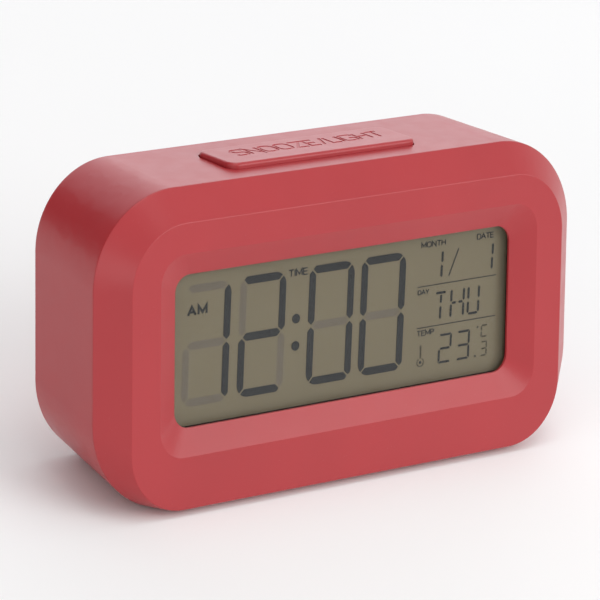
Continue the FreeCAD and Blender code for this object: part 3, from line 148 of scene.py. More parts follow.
def scaled(colour, share):
    """A colour made darker by a share under 1, or lighter by one over 1."""
    return rgb(*(channel * share for channel in colour[:3]))


WHITE = rgb(1, 1, 1)
DUST = rgb(0.75, 0.70, 0.68)


def moulded(name, colour, roughness=0.31, grain=5.0, depth=0.004, mottle=0.04):
    """Moulded plastic: spark-eroded grain, a slightly uneven gloss, faint flow marks and dust."""
    n = Nodes(name)
    flow = n.ramp(n.noise(0.035, 3.0, (1.0, 1.0, 0.45)), 0.3, 0.7)
    tone = n.blend(flow, scaled(colour, 1 - mottle), scaled(colour, 1 + mottle))
    dust = n.ramp(n.noise(2.4, 2.0), 0.70, 0.80, 0.0, 0.06)
    tone = n.blend(dust, tone, DUST)
    gloss = n.ramp(n.noise(0.25, 4.0), 0.25, 0.75, roughness - 0.03, roughness + 0.03)
    return n.surface(Base_Color=tone, Roughness=gloss, IOR=1.5, Normal=n.bump(n.noise(grain, 3.0), depth))


def metal(name, colour, roughness, brush, stains=0.12):
    """Plated metal with fine brushing along one direction, and darker stains."""
    n = Nodes(name)
    strokes = n.noise(1.0, 4.0, brush)
    blot = n.ramp(n.noise(0.8, 4.0), 0.45, 0.7, 0.0, stains)
    tone = n.blend(blot, colour, scaled(colour, 0.45))
    gloss = n.ramp(strokes, 0.3, 0.7, roughness - 0.07, roughness + 0.1)
    return n.surface(Base_Color=tone, Metallic=1.0, Roughness=gloss, Normal=n.bump(strokes, 0.004))


def laminate(name):
    """A circuit board: green mask over woven glass, with copper tracks showing through."""
    n = Nodes(name)
    yarns = []
    for direction in "XZ":
        wave = n.add("TexWave", wave_type="BANDS", bands_direction=direction)
        n.feed(wave, {"Vector": n.place, "Scale": 1.6, "Distortion": 0.3})
        yarns.append(wave.outputs["Fac"])
    cloth = n.maths("MULTIPLY", *yarns)
    tracks = n.add("TexBrick", offset=0.35)
    n.feed(tracks, {"Vector": n.place, "Scale": 0.22, "Mortar Size": 0.035})
    copper = n.ramp(tracks.outputs["Fac"], 0.4, 0.6, 0.0, 0.6)
    mask = n.blend(n.ramp(cloth, 0.0, 1.0, 0.0, 0.5), rgb(0.010, 0.075, 0.028), rgb(0.016, 0.12, 0.045))
    tone = n.blend(copper, mask, rgb(0.05, 0.22, 0.06))
    return n.surface(Base_Color=tone, Roughness=0.32, Normal=n.bump(cloth, 0.01))


def sheath(name, colour):
    """Soft wire insulation with a waxy gloss and a little lengthwise drag."""
    n = Nodes(name)
    drag = n.noise(1.2, 3.0, (1.0, 1.0, 5.0))
    tone = n.blend(n.ramp(drag, 0.3, 0.7), scaled(colour, 0.85), colour)
    gloss = n.ramp(drag, 0.3, 0.7, 0.3, 0.42)
    return n.surface(Base_Color=tone, Roughness=gloss, Normal=n.bump(drag, 0.01))


# The middle of the row of cells along x, and how far from it the print lies, towards a cell's positive end.
CELLS_MIDDLE = 1.25
LINE_FROM, LINE_TO = 7.4, 8.0
BAND_FROM = 9.0
JACKET_END = 21.0
PRINT_EDGE = 0.1


def cell_jacket(name, way):
    """A cell's jacket: dark, with a band and a line near its positive end, and bright metal ends."""
    n = Nodes(name)
    split = n.feed(n.add("SeparateXYZ"), {0: n.place})
    along = n.maths("MULTIPLY", n.maths("SUBTRACT", split.outputs["X"], CELLS_MIDDLE), way)
    foil = n.noise(3.0, 2.0, (0.2, 4.0, 4.0))
    band = n.ramp(along, BAND_FROM, BAND_FROM + PRINT_EDGE)
    line_start = n.ramp(along, LINE_FROM, LINE_FROM + PRINT_EDGE)
    line_end = n.ramp(along, LINE_TO, LINE_TO + PRINT_EDGE, 1.0, 0.0)
    bare = n.ramp(n.maths("ABSOLUTE", along), JACKET_END, JACKET_END + PRINT_EDGE)
    tone = n.blend(band, rgb(0.018, 0.022, 0.03), rgb(0.50, 0.21, 0.075))
    tone = n.blend(n.maths("MULTIPLY", line_start, line_end), tone, rgb(0.6, 0.6, 0.58))
    tone = n.blend(bare, tone, rgb(0.62, 0.62, 0.61))
    shine = n.ramp(bare, 0.0, 1.0, 0.55, 1.0)
    gloss = n.ramp(foil, 0.3, 0.7, 0.24, 0.34)
    return n.surface(Base_Color=tone, Metallic=shine, Roughness=gloss, Normal=n.bump(foil, 0.006))


def see_through(name, tint, mirror, roughness, grain=0.0):
    """A clear sheet: light passes straight through its tint, and it mirrors a share that grows aslant."""
    n = Nodes(name)
    clear = n.feed(n.add("BsdfTransparent"), {"Color": tint})
    shine = n.feed(n.add("BsdfGlossy"), {"Color": WHITE, "Roughness": roughness})
    if grain:
        n.link(n.bump(n.noise(3.5, 2.0), grain), shine.inputs["Normal"])
    aslant = n.maths("POWER", n.feed(n.add("LayerWeight"), {"Blend": 0.5}).outputs["Facing"], 5.0)
    share = n.ramp(aslant, 0.0, 1.0, mirror, min(1.0, 20 * mirror))
    return n.finish(n.feed(n.add("MixShader"), {0: share, 1: clear.outputs[0], 2: shine.outputs[0]}))


def ink(name, colour, cover=1.0):
    """A liquid-crystal segment: an even dark layer, which may let a share of the light by."""
    n = Nodes(name)
    grain = n.ramp(n.noise(6.0, 2.0), 0.3, 0.7)
    tone = n.blend(grain, scaled(colour, 0.92), scaled(colour, 1.08))
    dark = n.feed(n.add("BsdfDiffuse"), {"Color": tone})
    if cover == 1:
        return n.finish(dark)
    clear = n.feed(n.add("BsdfTransparent"), {"Color": WHITE})
    return n.finish(n.feed(n.add("MixShader"), {0: cover, 1: clear.outputs[0], 2: dark.outputs[0]}))


def reflector(name, colour):
    """The olive-grey film behind the liquid crystal: even, faintly flecked and slightly satin."""
    n = Nodes(name)
    fleck = n.noise(7.0, 3.0)
    cloud = n.ramp(n.noise(0.05, 2.0), 0.3, 0.7)
    tone = n.blend(cloud, scaled(colour, 0.97), scaled(colour, 1.03))
    tone = n.blend(n.ramp(fleck, 0.3, 0.7, 0.0, 0.12), tone, scaled(colour, 0.8))
    return n.surface(Base_Color=tone, Roughness=0.6, IOR=1.3, Normal=n.bump(fleck, 0.003))


RED = rgb(0.40, 0.0275, 0.0335)
SEGMENT = rgb(0.035, 0.037, 0.040)
case_red = moulded("case_red", RED)
bar_red = moulded("bar_red", scaled(RED, 1.02), roughness=0.3, grain=6.0)
# The legend's grooves: the case red made a little lighter, painted light inside the cut letters, with a
# rougher gloss.
groove_painted_light = moulded("groove_painted_light", scaled(RED, 1.05), roughness=0.42)
key_red = moulded("key_red", scaled(RED, 0.95), roughness=0.35, grain=7.0, depth=0.003)
white_mould = moulded("white_mould", rgb(0.78, 0.78, 0.75), mottle=0.02)
black_mould = moulded("black_mould", rgb(0.018, 0.018, 0.02), roughness=0.45)
black_resin = moulded("black_resin", rgb(0.012, 0.012, 0.012), roughness=0.25, grain=2.0)
plunger_black = moulded("plunger_black", rgb(0.02, 0.02, 0.02), roughness=0.3)
sleeve_dark = moulded("sleeve_dark", rgb(0.02, 0.025, 0.06), roughness=0.3)
lamp_body = moulded("lamp_body", rgb(0.80, 0.74, 0.50), roughness=0.3)
fired_clay = moulded("fired_clay", rgb(0.72, 0.69, 0.60), roughness=0.6, depth=0.01)
zebra = moulded("zebra", rgb(0.62, 0.40, 0.44), roughness=0.55)
tin = metal("tin", rgb(0.66, 0.66, 0.64), 0.32, (0.4, 6.0, 6.0))
zinc = metal("zinc", rgb(0.50, 0.51, 0.54), 0.34, (3.0, 3.0, 3.0), 0.25)
brass = metal("brass", rgb(0.60, 0.42, 0.16), 0.3, (5.0, 0.4, 5.0))
nickel = metal("nickel", rgb(0.64, 0.63, 0.60), 0.26, (5.0, 5.0, 0.5))
board_green = laminate("board_green")
cell_clear = see_through("cell_clear", rgb(0.94, 0.94, 0.93), 0.016, 0.16, 0.003)
guide_clear = see_through("guide_clear", rgb(0.96, 0.97, 0.96), 0.04, 0.05)
film_olive = reflector("film_olive", rgb(0.204, 0.173, 0.112))
segment_dark = ink("segment_dark", SEGMENT)
segment_dim = ink("segment_dim", SEGMENT, 0.25)
segment_ghost = ink("segment_ghost", rgb(0.27, 0.25, 0.35), 0.06)

# Every CAD node's material.
FINISHES = {
    case_red: ["front_bezel", "rear_housing", "battery_door"],
    bar_red: ["snooze_bar"],
    key_red: ["mode_key", "set_key", "up_key", "down_key", "alarm_knob"],
    guide_clear: ["light_guide"],
    white_mould: ["reflector_sheet", "display_holder"],
    zebra: ["zebra_strip"],
    lamp_body: ["backlight_leds"],
    board_green: ["main_board", "key_board"],
    zinc: ["case_screws", "board_screws", "key_board_screws"],
    black_resin: ["driver_chip", "thermistor"],
    black_mould: ["snooze_switch", "key_switches", "sounder_transistor", "switch_lever"],
    plunger_black: ["snooze_plunger", "mode_plunger", "set_plunger", "up_plunger", "down_plunger"],
    tin: ["watch_crystal", "alarm_switch"],
    sleeve_dark: ["capacitor"],
    fired_clay: ["chip_components", "sounder_ceramic"],
    brass: ["sounder_plate"],
    nickel: ["positive_contact", "negative_contact", "upper_link_contact", "lower_link_contact"],
    cell_jacket("jacket_right", 1): ["upper_cell", "lower_cell"],
    cell_jacket("jacket_left", -1): ["middle_cell"],
    sheath("sheath_red", rgb(0.50, 0.012, 0.012)): ["positive_lead", "sounder_leads"],
    sheath("sheath_black", rgb(0.012, 0.012, 0.014)): ["negative_lead"],
    sheath("sheath_grey", rgb(0.42, 0.43, 0.46)): ["key_cable"],
}

WELD = 0.0005 * MM
SHARP_ANGLE = math.radians(26)


def smoothing():
    """Geometry nodes that weld a tessellated part and shade it smooth across all but its sharp edges."""
    group = bpy.data.node_groups.new("smooth_part", "GeometryNodeTree")
    group.interface.new_socket("Geometry", in_out="INPUT", socket_type="NodeSocketGeometry")
    group.interface.new_socket("Geometry", in_out="OUTPUT", socket_type="NodeSocketGeometry")
    nodes, links = group.nodes, group.links
    weld = nodes.new("GeometryNodeMergeByDistance")
    weld.inputs["Distance"].default_value = WELD
    angle = nodes.new("GeometryNodeInputMeshEdgeAngle")
    sharp = nodes.new("FunctionNodeCompare")
    sharp.operation = "GREATER_THAN"
    sharp.inputs[1].default_value = SHARP_ANGLE
    edges = nodes.new("GeometryNodeSetShadeSmooth")
    edges.domain = "EDGE"
    edges.inputs["Shade Smooth"].default_value = False
    faces = nodes.new("GeometryNodeSetShadeSmooth")
    links.new(nodes.new("NodeGroupInput").outputs[0], weld.inputs["Geometry"])
    links.new(weld.outputs["Geometry"], faces.inputs["Geometry"])
    links.new(faces.outputs["Geometry"], edges.inputs["Geometry"])
    links.new(angle.outputs["Unsigned Angle"], sharp.inputs[0])
    links.new(sharp.outputs[0], edges.inputs["Selection"])
    links.new(edges.outputs["Geometry"], nodes.new("NodeGroupOutput").inputs[0])
    return group


SMOOTHING = smoothing()


def shade(obj):
    """Smooth shading whose normals lean towards the larger faces, so that flats stay flat."""
    modifier = obj.modifiers.new("smooth", "NODES")
    modifier.node_group = SMOOTHING
    weighted = obj.modifiers.new("weighted", "WEIGHTED_NORMAL")
    weighted.keep_sharp = True


for finish, names in FINISHES.items():
    for name in names:
        frame["nodes"][name].material_slots[0].material = finish


# ------------------------------------------------------------------ flat shapes on the display


def piece(name, mesh, body, material):
    """A new object from a bmesh in the face frame's millimetres, riding on a body."""
    bmesh.ops.recalc_face_normals(mesh, faces=mesh.faces)
    mesh.transform(FACE)
    data = bpy.data.meshes.new(name)
    mesh.to_mesh(data)
    mesh.free()
    data.materials.append(material)
    obj = bpy.data.objects.new(name, data)
    bpy.context.scene.collection.objects.link(obj)
    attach(obj, body)
    return obj


# The segments lie inside the thin layer of liquid crystal, and the two plates stand just clear of it.
crystal_low, crystal_high = face_box("liquid_crystal")
INK_AIR, PLATE_AIR = 0.01, 0.02
INK_FRONT, INK_BACK = crystal_low.y + INK_AIR, crystal_high.y - INK_AIR


def prism(mesh, outline, front=INK_FRONT, back=INK_BACK):
    """A closed thin solid over a convex outline in the face's x and z."""
    rings = [[mesh.verts.new((x, y, z)) for x, z in outline] for y in (front, back)]
    mesh.faces.new(rings[0])
    mesh.faces.new(list(reversed(rings[1])))
    count = len(outline)
    for i in range(count):
        j = (i + 1) % count
        mesh.faces.new((rings[0][j], rings[0][i], rings[1][i], rings[1][j]))


def clipped(outline, a, b, c):
    """The part of a convex outline where a * u + b * v <= c."""
    kept = []
    for i, point in enumerate(outline):
        after = outline[(i + 1) % len(outline)]
        here = a * point[0] + b * point[1] - c
        there = a * after[0] + b * after[1] - c
        if here <= 0:
            kept.append(point)
        if here * there < 0:
            t = here / (here - there)
            kept.append((point[0] + t * (after[0] - point[0]), point[1] + t * (after[1] - point[1])))
    return kept


def box_outline(u0, v0, u1, v1):
    return [(u0, v0), (u1, v0), (u1, v1), (u0, v1)]


def rounded_at(outline, corner_u, corner_v, radius, sign):
    """Rounds a digit's outer corner: the upper right one for a sign of 1, the lower left one for -1."""
    centre_u, centre_v = corner_u - sign * radius, corner_v - sign * radius
    for degrees in (10, 25, 40, 50, 65, 80):
        a, b = math.cos(math.radians(degrees)) * sign, math.sin(math.radians(degrees)) * sign
        outline = clipped(outline, a, b, a * centre_u + b * centre_v + radius)
    return outline


def segment(letter, wide, high, half, gap, radius):
    """One of a digit's seven segments, as a convex outline. Its origin is at the digit's lower left.

    Segment a is the bar at the top, b to f follow it clockwise, and g is the bar across the middle. A digit
    is wide and high between the middle lines of its segments, and half is half a segment's width.
    """
    middle = high / 2
    off = gap / math.sqrt(2)
    column = {"b": wide, "c": wide, "e": 0.0, "f": 0.0}
    row = {"a": high, "g": middle, "d": 0.0}
    if letter == "g":
        shape = box_outline(0, middle - half, wide, middle + half)
        for side in (-1, 1):
            shape = clipped(shape, -1, side, side * middle - off)
            shape = clipped(shape, 1, side, side * middle + wide - off)
        return shape
    if letter in row:
        shape = box_outline(-half, row[letter] - half, wide + half, row[letter] + half)
    else:
        low, top = (middle, high + half) if letter in "bf" else (-half, middle)
        shape = box_outline(column[letter] - half, low, column[letter] + half, top)
        up = -1 if letter in "bf" else 1
        for side in (-1, 1):
            shape = clipped(shape, side, up, side * column[letter] + up * middle - off)
    # The diagonal gap at each corner cuts its upright and its bar apart.
    left_corners = ((0, high, 1, "f", "a"), (0, 0, -1, "e", "d"))
    right_corners = ((wide, high, -1, "b", "a"), (wide, 0, 1, "c", "d"))
    for u, v, across, upright, level in left_corners + right_corners:
        inward = 1 if u == 0 else -1
        if letter == level:
            shape = clipped(shape, -inward, -inward * across, -inward * (u + across * v) - off)
        elif letter == upright:
            shape = clipped(shape, inward, inward * across, inward * (u + across * v) - off)
    if letter in "ab":
        shape = rounded_at(shape, wide + half, high + half, radius, 1)
    if letter in "de":
        shape = rounded_at(shape, -half, -half, radius, -1)
    # The other two outer corners are cut off aslant.
    if letter in "af":
        shape = clipped(shape, -1, 1, high)
    if letter in "cd":
        shape = clipped(shape, 1, -1, wide)
    return shape


# The segments of each figure.
LIT = {"0": "abcdef", "1": "bc", "2": "abged", "3": "abgcd", "C": "afed"}
SLANT = 0.034               # of the digits, to the right for each millimetre up


def digit(mesh, letters, right, top, wide, high, half, gap, radius):
    """Segments of a digit whose right column and top bar are centred on the point right, top."""
    for letter in letters:
        outline = segment(letter, wide, high, half, gap, radius)
        prism(mesh, [(right - wide + u + SLANT * (v - high), top - high + v) for u, v in outline])


def bar(mesh, x0, z0, x1, z1, width, tip=0.5):
    """A straight bar with pointed ends; tip is the point's length in widths."""
    along = Vector((x1 - x0, z1 - z0)).normalized()
    side = Vector((-along.y, along.x)) * width / 2
    start, end, point = Vector((x0, z0)), Vector((x1, z1)), along * width * tip
    one_side = [start, start + point - side, end - point - side]
    other_side = [end, end - point + side, start + point + side]
    prism(mesh, [tuple(p) for p in one_side + other_side])


def disc(mesh, x, z, radius, count=28):
    turns = [math.tau * i / count for i in range(count)]
    prism(mesh, [(x + radius * math.cos(turn), z + radius * math.sin(turn)) for turn in turns])


def ribbon(mesh, points, width, low, high, place, closed=False):
    """A solid of constant width along a flat line of points u, v, from level low to high.

    place gives the point in the face frame for u, v and a level.
    """
    points = [Vector(p) for p in points]
    count = len(points)
    sides = []
    for i, point in enumerate(points):
        before = points[i - 1] if i or closed else None
        after = points[(i + 1) % count] if i < count - 1 or closed else None
        arms = [(point - before).normalized()] if before else []
        arms += [(after - point).normalized()] if after else []
        mean = sum(arms, Vector((0, 0))).normalized()
        stretch = 1 / max(0.35, mean.dot(arms[0]))
        side = Vector((-mean.y, mean.x)) * width / 2 * stretch
        sides.append((point + side, point - side))
    rings = [[mesh.verts.new(place(*p, level)) for p, level in ((a, low), (b, low), (b, high), (a, high))]
             for a, b in sides]
    for i in range(count if closed else count - 1):
        ring, following = rings[i], rings[(i + 1) % count]
        for k in range(4):
            m = (k + 1) % 4
            mesh.faces.new((ring[k], ring[m], following[m], following[k]))
    if not closed:
        mesh.faces.new(rings[0])
        mesh.faces.new(list(reversed(rings[-1])))


def rounded_line(points, radius, closed=False, steps=5):
    """A line of points with its inner corners turned into arcs."""
    points = [Vector(p) for p in points]
    count = len(points)
    made = []
    for i, point in enumerate(points):
        if not closed and i in (0, count - 1):
            made.append(point)
            continue
        back = points[i - 1] - point
        ahead = points[(i + 1) % count] - point
        reach = min(radius, back.length * 0.5, ahead.length * 0.5)
        start, end = point + back.normalized() * reach, point + ahead.normalized() * reach
        for k in range(steps + 1):
            t = k / steps
            made.append(start * (1 - t) ** 2 + point * 2 * t * (1 - t) + end * t ** 2)
    return made


# Letter strokes in a box one unit high: the letter's width, the rounding of its corners, and its lines, each
# a row of points u,v. A line that ends where it starts is closed.
GLYPHS = {
    "A": (0.86, 0.0, ["0,0 .43,1 .86,0", ".17,.36 .69,.36"]),
    "C": (0.74, 0.3, [".74,.84 .74,1 0,1 0,0 .74,0 .74,.16"]),
    "D": (0.76, 0.34, ["0,0 .76,0 .76,1 0,1", "0,0 0,1"]),
    "E": (0.66, 0.0, [".66,0 0,0 0,1 .66,1", "0,.52 .6,.52"]),
    "G": (0.84, 0.3, [".84,.8 .84,1 0,1 0,0 .84,0 .84,.46 .48,.46"]),
    "H": (0.74, 0.0, ["0,0 0,1", ".74,0 .74,1", "0,.51 .74,.51"]),
    "I": (0.0, 0.0, ["0,0 0,1"]),
    "L": (0.6, 0.0, ["0,1 0,0 .6,0"]),
    "M": (0.9, 0.0, ["0,0 0,1 .45,.2 .9,1 .9,0"]),
    "N": (0.76, 0.0, ["0,0 0,1 .76,0 .76,1"]),
    "O": (0.86, 0.38, ["0,0 .86,0 .86,1 0,1 0,0"]),
    "P": (0.66, 0.26, ["0,.44 .66,.44 .66,1 0,1", "0,0 0,1"]),
    "S": (0.72, 0.26, [".7,.84 .7,1 0,1 0,.52 .72,.52 .72,0 0,0 0,.16"]),
    "T": (0.76, 0.0, ["0,1 .76,1", ".38,1 .38,0"]),
    "Y": (0.76, 0.0, ["0,1 .38,.46 .76,1", ".38,.46 .38,0"]),
    "Z": (0.76, 0.0, ["0,1 .76,1 0,0 .76,0"]),
    "/": (0.44, 0.0, ["0,-.06 .44,1.06"]),
}


def word(mesh, text, left, foot, right, high, stroke, low, top, place, narrow=1.0):
    """A line of stroke letters, narrowed by that factor, and spread evenly from left to right."""
    wide_unit = high * narrow
    widths = [GLYPHS[letter][0] * wide_unit for letter in text]
    inner = right - left - stroke
    space = (inner - sum(widths)) / (len(text) - 1)
    x = left + stroke / 2
    tall = high - stroke
    for letter, wide in zip(text, widths):
        _, rounding, lines = GLYPHS[letter]
        for line in lines:
            points = [tuple(float(value) for value in pair.split(",")) for pair in line.split()]
            closed = points[0] == points[-1]
            if closed:
                points.pop()
            points = [(x + u * wide_unit, foot + stroke / 2 + v * tall) for u, v in points]
            if rounding:
                points = rounded_line(points, rounding * wide_unit, closed)
            ribbon(mesh, points, stroke, low, top, place, closed)
        x += wide + space


def on_display(u, v, level):
    """A point over the display: u to the right, v up, and level towards the back."""
    return u, level, v


EDGE_STEP = 0.12


def display_plate(name, glass, film, front, back, material):
    """A plate for a glass and its film, between two levels, with a fine step along its edges.

    A profile of 0 makes the step. It leaves faces without area at the corners, which the weld takes away, and
    then a vertex that no face holds.
    """
    low, high = face_box(glass)
    plate = bmesh.new()
    prism(plate, box_outline(low.x, low.z, high.x, high.z), front, back)
    bmesh.ops.bevel(plate, geom=plate.edges[:], offset=EDGE_STEP, segments=2, profile=0.0, affect="EDGES")
    bmesh.ops.remove_doubles(plate, verts=plate.verts[:], dist=WELD / MM)
    bmesh.ops.delete(plate, geom=[vertex for vertex in plate.verts if not vertex.link_faces], context="VERTS")
    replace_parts(piece(name, plate, "case", material), film, glass)


# The front glass with its film is one clear plate, and the rear glass with its film one opaque plate.
film_front = face_box("front_polarizer")[0].y
film_back = face_box("rear_polarizer")[1].y
cell_back, back_front = crystal_low.y - PLATE_AIR, crystal_high.y + PLATE_AIR
display_plate("display_cell", "front_glass", "front_polarizer", film_front, cell_back, cell_clear)
display_plate("display_back", "rear_glass", "rear_polarizer", back_front, film_back, film_olive)

# A dark band round the liquid crystal, just outside the window: painted shade, standing for the shadowed gap
# behind the window's lip. Its places are those of its middle line.
GAP_SHADE_SIDE, GAP_SHADE_FOOT, GAP_SHADE_TOP = 49.3, -18.65, 19.0
GAP_SHADE_WIDTH = 1.2
gap_shade = bmesh.new()
edge = box_outline(-GAP_SHADE_SIDE, GAP_SHADE_FOOT, GAP_SHADE_SIDE, GAP_SHADE_TOP)
ribbon(gap_shade, edge, GAP_SHADE_WIDTH, INK_FRONT, INK_BACK, on_display, closed=True)
piece("gap_shade_band", gap_shade, "case", segment_dark)

# The time. Its columns are the right columns of the four digits.
BIG = dict(top=12.66, wide=11.0, high=25.6, half=0.9, gap=0.42, radius=3.2)
TIME_COLUMNS = (-31.53, -16.28, 3.07, 17.97)

lit = bmesh.new()
for figure, right in zip("1200", TIME_COLUMNS):
    digit(lit, LIT[figure], right, **BIG)
COLON_DOTS = ((-12.58, 2.15), (-12.68, -4.1))
for x, z in COLON_DOTS:
    disc(lit, x, z, 1.1)
time_digits = piece("time_digits", lit, "case", segment_dark)
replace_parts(time_digits, "liquid_crystal")

unlit = bmesh.new()
for letters, right in zip(("aged", "fc", "g", "g"), TIME_COLUMNS):
    digit(unlit, letters, right, **BIG)
piece("unlit_segments", unlit, "case", segment_ghost)

# The captions: text, left end, foot, right end, height and stroke width.
words = bmesh.new()
for text, left, foot, right, high, stroke in (
    ("AM", -42.75, 6.55, -37.2, 2.4, 0.52),
    ("TIME", -14.85, 11.85, -9.4, 1.7, 0.27),
    ("MONTH", 23.2, 13.65, 30.4, 1.4, 0.22),
    ("DATE", 39.65, 13.65, 44.75, 1.4, 0.22),
    ("DAY", 22.4, 2.8, 25.75, 1.15, 0.2),
    ("TEMP", 22.35, -6.9, 27.45, 1.35, 0.2),
):
    word(words, text, left, foot, right, high, stroke, INK_FRONT, INK_BACK, on_display)
piece("display_words", words, "case", segment_dark)

# The date, the weekday and the temperature. Most uprights are two strokes, which lean like the digits.
THIN = 0.55
HAIRLINE = 0.18
STROKE_LEAN = 0.1


def upright(mesh, x, step, upper, lower):
    """Two strokes, one above the other, each from its foot to its top; the lower one is further left."""
    for start, (foot, top) in ((x, upper), (x - step, lower)):
        bar(mesh, start, foot, start + STROKE_LEAN, top, THIN)


calendar = bmesh.new()
for x in (29.47, 44.47):
    upright(calendar, x, 0.2, (9.7, 12.3), (6.3, 9.1))
bar(calendar, 31.5, 6.3, 34.3, 12.4, 0.26, 0.0)
for z in (4.7, -4.95):
    bar(calendar, 22.35, z, 45.65, z, HAIRLINE, 0.0)

# T, H and U: the T's bar, the stems, the H's half-bars and the U's foot.
bar(calendar, 27.8, 2.6, 30.75, 2.6, THIN)
upright(calendar, 29.27, 0.15, (0.15, 2.15), (-3.55, -0.55))
for x, foot in ((32.37, -3.55), (36.07, -3.55), (37.47, -3.25), (40.57, -3.25)):
    upright(calendar, x, 0.15, (0.05, 2.85), (foot, -0.55))
bar(calendar, 32.55, -0.25, 33.85, -0.25, THIN)
bar(calendar, 34.5, -0.25, 35.8, -0.25, THIN)
bar(calendar, 37.5, -3.45, 40.27, -3.45, THIN)

BULB_X, BULB_Z = 23.5, -13.05
SMALL = dict(top=-7.45, high=6.4, half=0.26, gap=0.22, radius=0.5)
digit(calendar, LIT["2"], 32.52, wide=3.35, **SMALL)
digit(calendar, LIT["3"], 37.97, wide=3.4, **SMALL)
disc(calendar, BULB_X, BULB_Z, 0.34, 14)
piece("calendar_segments", calendar, "case", segment_dark)

# The unit, the tenths with their point, and the thermometer: its bulb is a ring left open towards the tube.
faint = bmesh.new()
FAINT = dict(half=0.17, gap=0.16, radius=0.3)
digit(faint, LIT["C"], 43.37, top=-6.85, wide=1.7, high=2.6, **FAINT)
digit(faint, LIT["3"], 43.27, top=-10.75, wide=1.6, high=3.2, **FAINT)
disc(faint, 40.47, -7.05, 0.28, 14)
disc(faint, 39.87, -13.85, 0.3, 14)
BULB_RADIUS = 0.95
turns = [math.radians(30 + 12 * i) for i in range(26)]
bulb = [(BULB_X + BULB_RADIUS * math.sin(turn), BULB_Z + BULB_RADIUS * math.cos(turn)) for turn in turns]
ribbon(faint, bulb, 0.24, INK_FRONT, INK_BACK, on_display)
bar(faint, 23.53, -12.15, 23.55, -8.95, 0.44, 0.4)
piece("faint_segments", faint, "case", segment_dim)


# ------------------------------------------------------------------ legend cut into the snooze bar

bar_low, bar_high = face_box("snooze_bar")
BAR_TOP = 37.72             # height of the bar's top at its front side, without the rounding
BAR_RISE = 0.83             # of the top, from its front side to its back
BAR_SLOPE = BAR_RISE / (bar_high.y - bar_low.y)
LEGEND_DEPTH = 0.12
CUTTER_ABOVE = 0.5


def on_bar(u, v, level):
    """A point over the bar's top: u to the right, v from its front side towards the back."""
    return u, bar_low.y + v, BAR_TOP + BAR_SLOPE * v + level


LEGEND = dict(left=-20.1, right=22.35, foot=5.3, high=5.1, stroke=0.74, narrow=0.8)
legend = bmesh.new()
word(legend, "SNOOZE/LIGHT", low=-LEGEND_DEPTH, top=CUTTER_ABOVE, place=on_bar, **LEGEND)
cutter = piece("legend_cutter", legend, "snooze", groove_painted_light)
cutter.hide_render = True
bar_node = frame["nodes"]["snooze_bar"]
engrave = bar_node.modifiers.new("legend", "BOOLEAN")
engrave.object = cutter
engrave.operation = "DIFFERENCE"
engrave.solver = "EXACT"
engrave.use_self = True
# The grooves take the cutter's lighter red, the painted light inside the letters.
engrave.material_mode = "TRANSFER"

for node in frame["nodes"].values():
    shade(node)


# ------------------------------------------------------------------ studio

FLOOR_REACH = 3.0

floor_mesh = bmesh.new()
bmesh.ops.create_grid(floor_mesh, x_segments=24, y_segments=24, size=FLOOR_REACH)
floor_data = bpy.data.meshes.new("floor")
floor_mesh.to_mesh(floor_data)
floor_mesh.free()
floor = bpy.data.objects.new("floor", floor_data)
paint = Nodes("pale_floor")
cloud = paint.ramp(paint.noise(0.004, 2.0), 0.3, 0.7)
tone = paint.blend(cloud, rgb(0.90, 0.90, 0.90), rgb(0.93, 0.93, 0.93))
floor_data.materials.append(paint.surface(Base_Color=tone, Roughness=0.8))
bpy.context.scene.collection.objects.link(floor)


CENTRE = (0, 0, 0.035)


def softbox(name, at, size, power, tint=(1, 1, 1)):
    """A flat light aimed at the clock's middle; at and size are in metres, power in watts."""
    light = bpy.data.lights.new(name, "AREA")
    light.shape = "RECTANGLE"
    light.size, light.size_y = size
    light.energy = power
    light.color = tint
    obj = bpy.data.objects.new(name, light)
    obj.location = at
    obj.rotation_euler = (Vector(CENTRE) - Vector(at)).to_track_quat("-Z", "Y").to_euler()
    bpy.context.scene.collection.objects.link(obj)


softbox("key", (0.66, -0.95, 0.72), (1.1, 0.8), 5.9)
softbox("fill", (-1.0, -0.9, 0.55), (0.9, 0.6), 1.5)
softbox("overhead", (0.1, 0.1, 1.3), (0.8, 0.8), 3.6)
softbox("backdrop", (0.92, 1.96, 0.85), (2.75, 1.5), 11.2, (0.99, 0.97, 1.04))

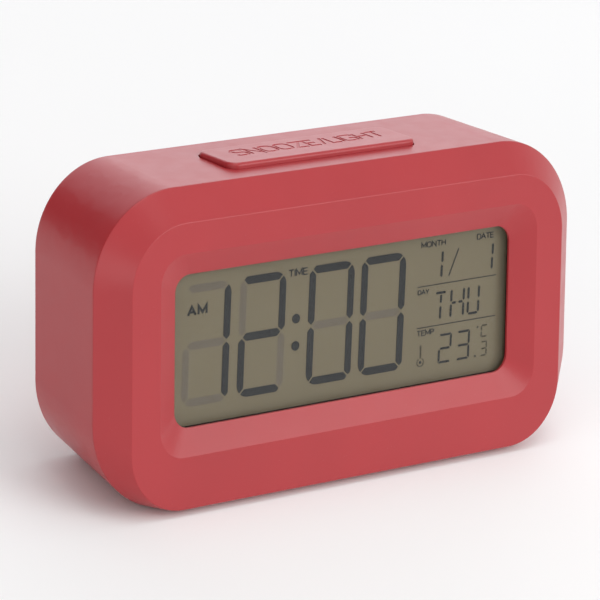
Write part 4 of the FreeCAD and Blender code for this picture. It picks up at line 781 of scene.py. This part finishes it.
# The room is evenly pale, but dark behind at the left, and dimmer high up than at the horizon. A ramp gives
# where it starts and ends along its direction, and the strength at those two places.
DARK_SIDE = Vector((-0.40, 0.90, 0.18)).normalized()
DARK_RAMP = (0.45, 0.92, 0.85, 0.08)
HEIGHT_RAMP = (0.25, 0.75, 1.0, 0.85)

world = bpy.data.worlds.new("studio")
world.use_nodes = True
tree = world.node_tree
background = tree.nodes["Background"]
coords = tree.nodes.new("ShaderNodeTexCoord")
towards = tree.nodes.new("ShaderNodeVectorMath")
towards.operation = "DOT_PRODUCT"
towards.inputs[1].default_value = DARK_SIDE
tree.links.new(coords.outputs["Generated"], towards.inputs[0])
height = tree.nodes.new("ShaderNodeSeparateXYZ")
tree.links.new(coords.outputs["Generated"], height.inputs[0])
strength = tree.nodes.new("ShaderNodeMath")
strength.operation = "MULTIPLY"
tree.links.new(strength.outputs[0], background.inputs["Strength"])
ramps = ((towards.outputs["Value"], DARK_RAMP), (height.outputs["Z"], HEIGHT_RAMP))
for slot, (source, levels) in enumerate(ramps):
    ramp = tree.nodes.new("ShaderNodeMapRange")
    ramp.interpolation_type = "SMOOTHSTEP"
    tree.links.new(source, ramp.inputs[0])
    tree.links.new(ramp.outputs[0], strength.inputs[slot])
    for socket, value in zip((1, 2, 3, 4), levels):
        ramp.inputs[socket].default_value = value
background.inputs["Color"].default_value = WHITE
bpy.context.scene.world = world
bpy.context.scene.view_settings.view_transform = "Standard"

# ------------------------------------------------------------------ camera
# A long lens, in front of the clock to its left and a little above it, and turned about its own axis.

CAMERA_AT = Vector((-587.227, -678.820, 426.472)) * MM
LOOK_AT = Vector((-15.53, -14.817, 43.662)) * MM
ROLL = math.radians(9.745)
camera_data = bpy.data.cameras.new("camera")
camera_data.lens, camera_data.sensor_width = 259.23, 36.0
camera_data.clip_start, camera_data.clip_end = 0.05, 20.0
camera = bpy.data.objects.new("camera", camera_data)
bpy.context.scene.collection.objects.link(camera)
turn = (LOOK_AT - CAMERA_AT).to_track_quat("-Z", "Y").to_matrix().to_4x4()
camera.matrix_world = Matrix.Translation(CAMERA_AT) @ turn @ Matrix.Rotation(ROLL, 4, "Z")
bpy.context.scene.camera = camera
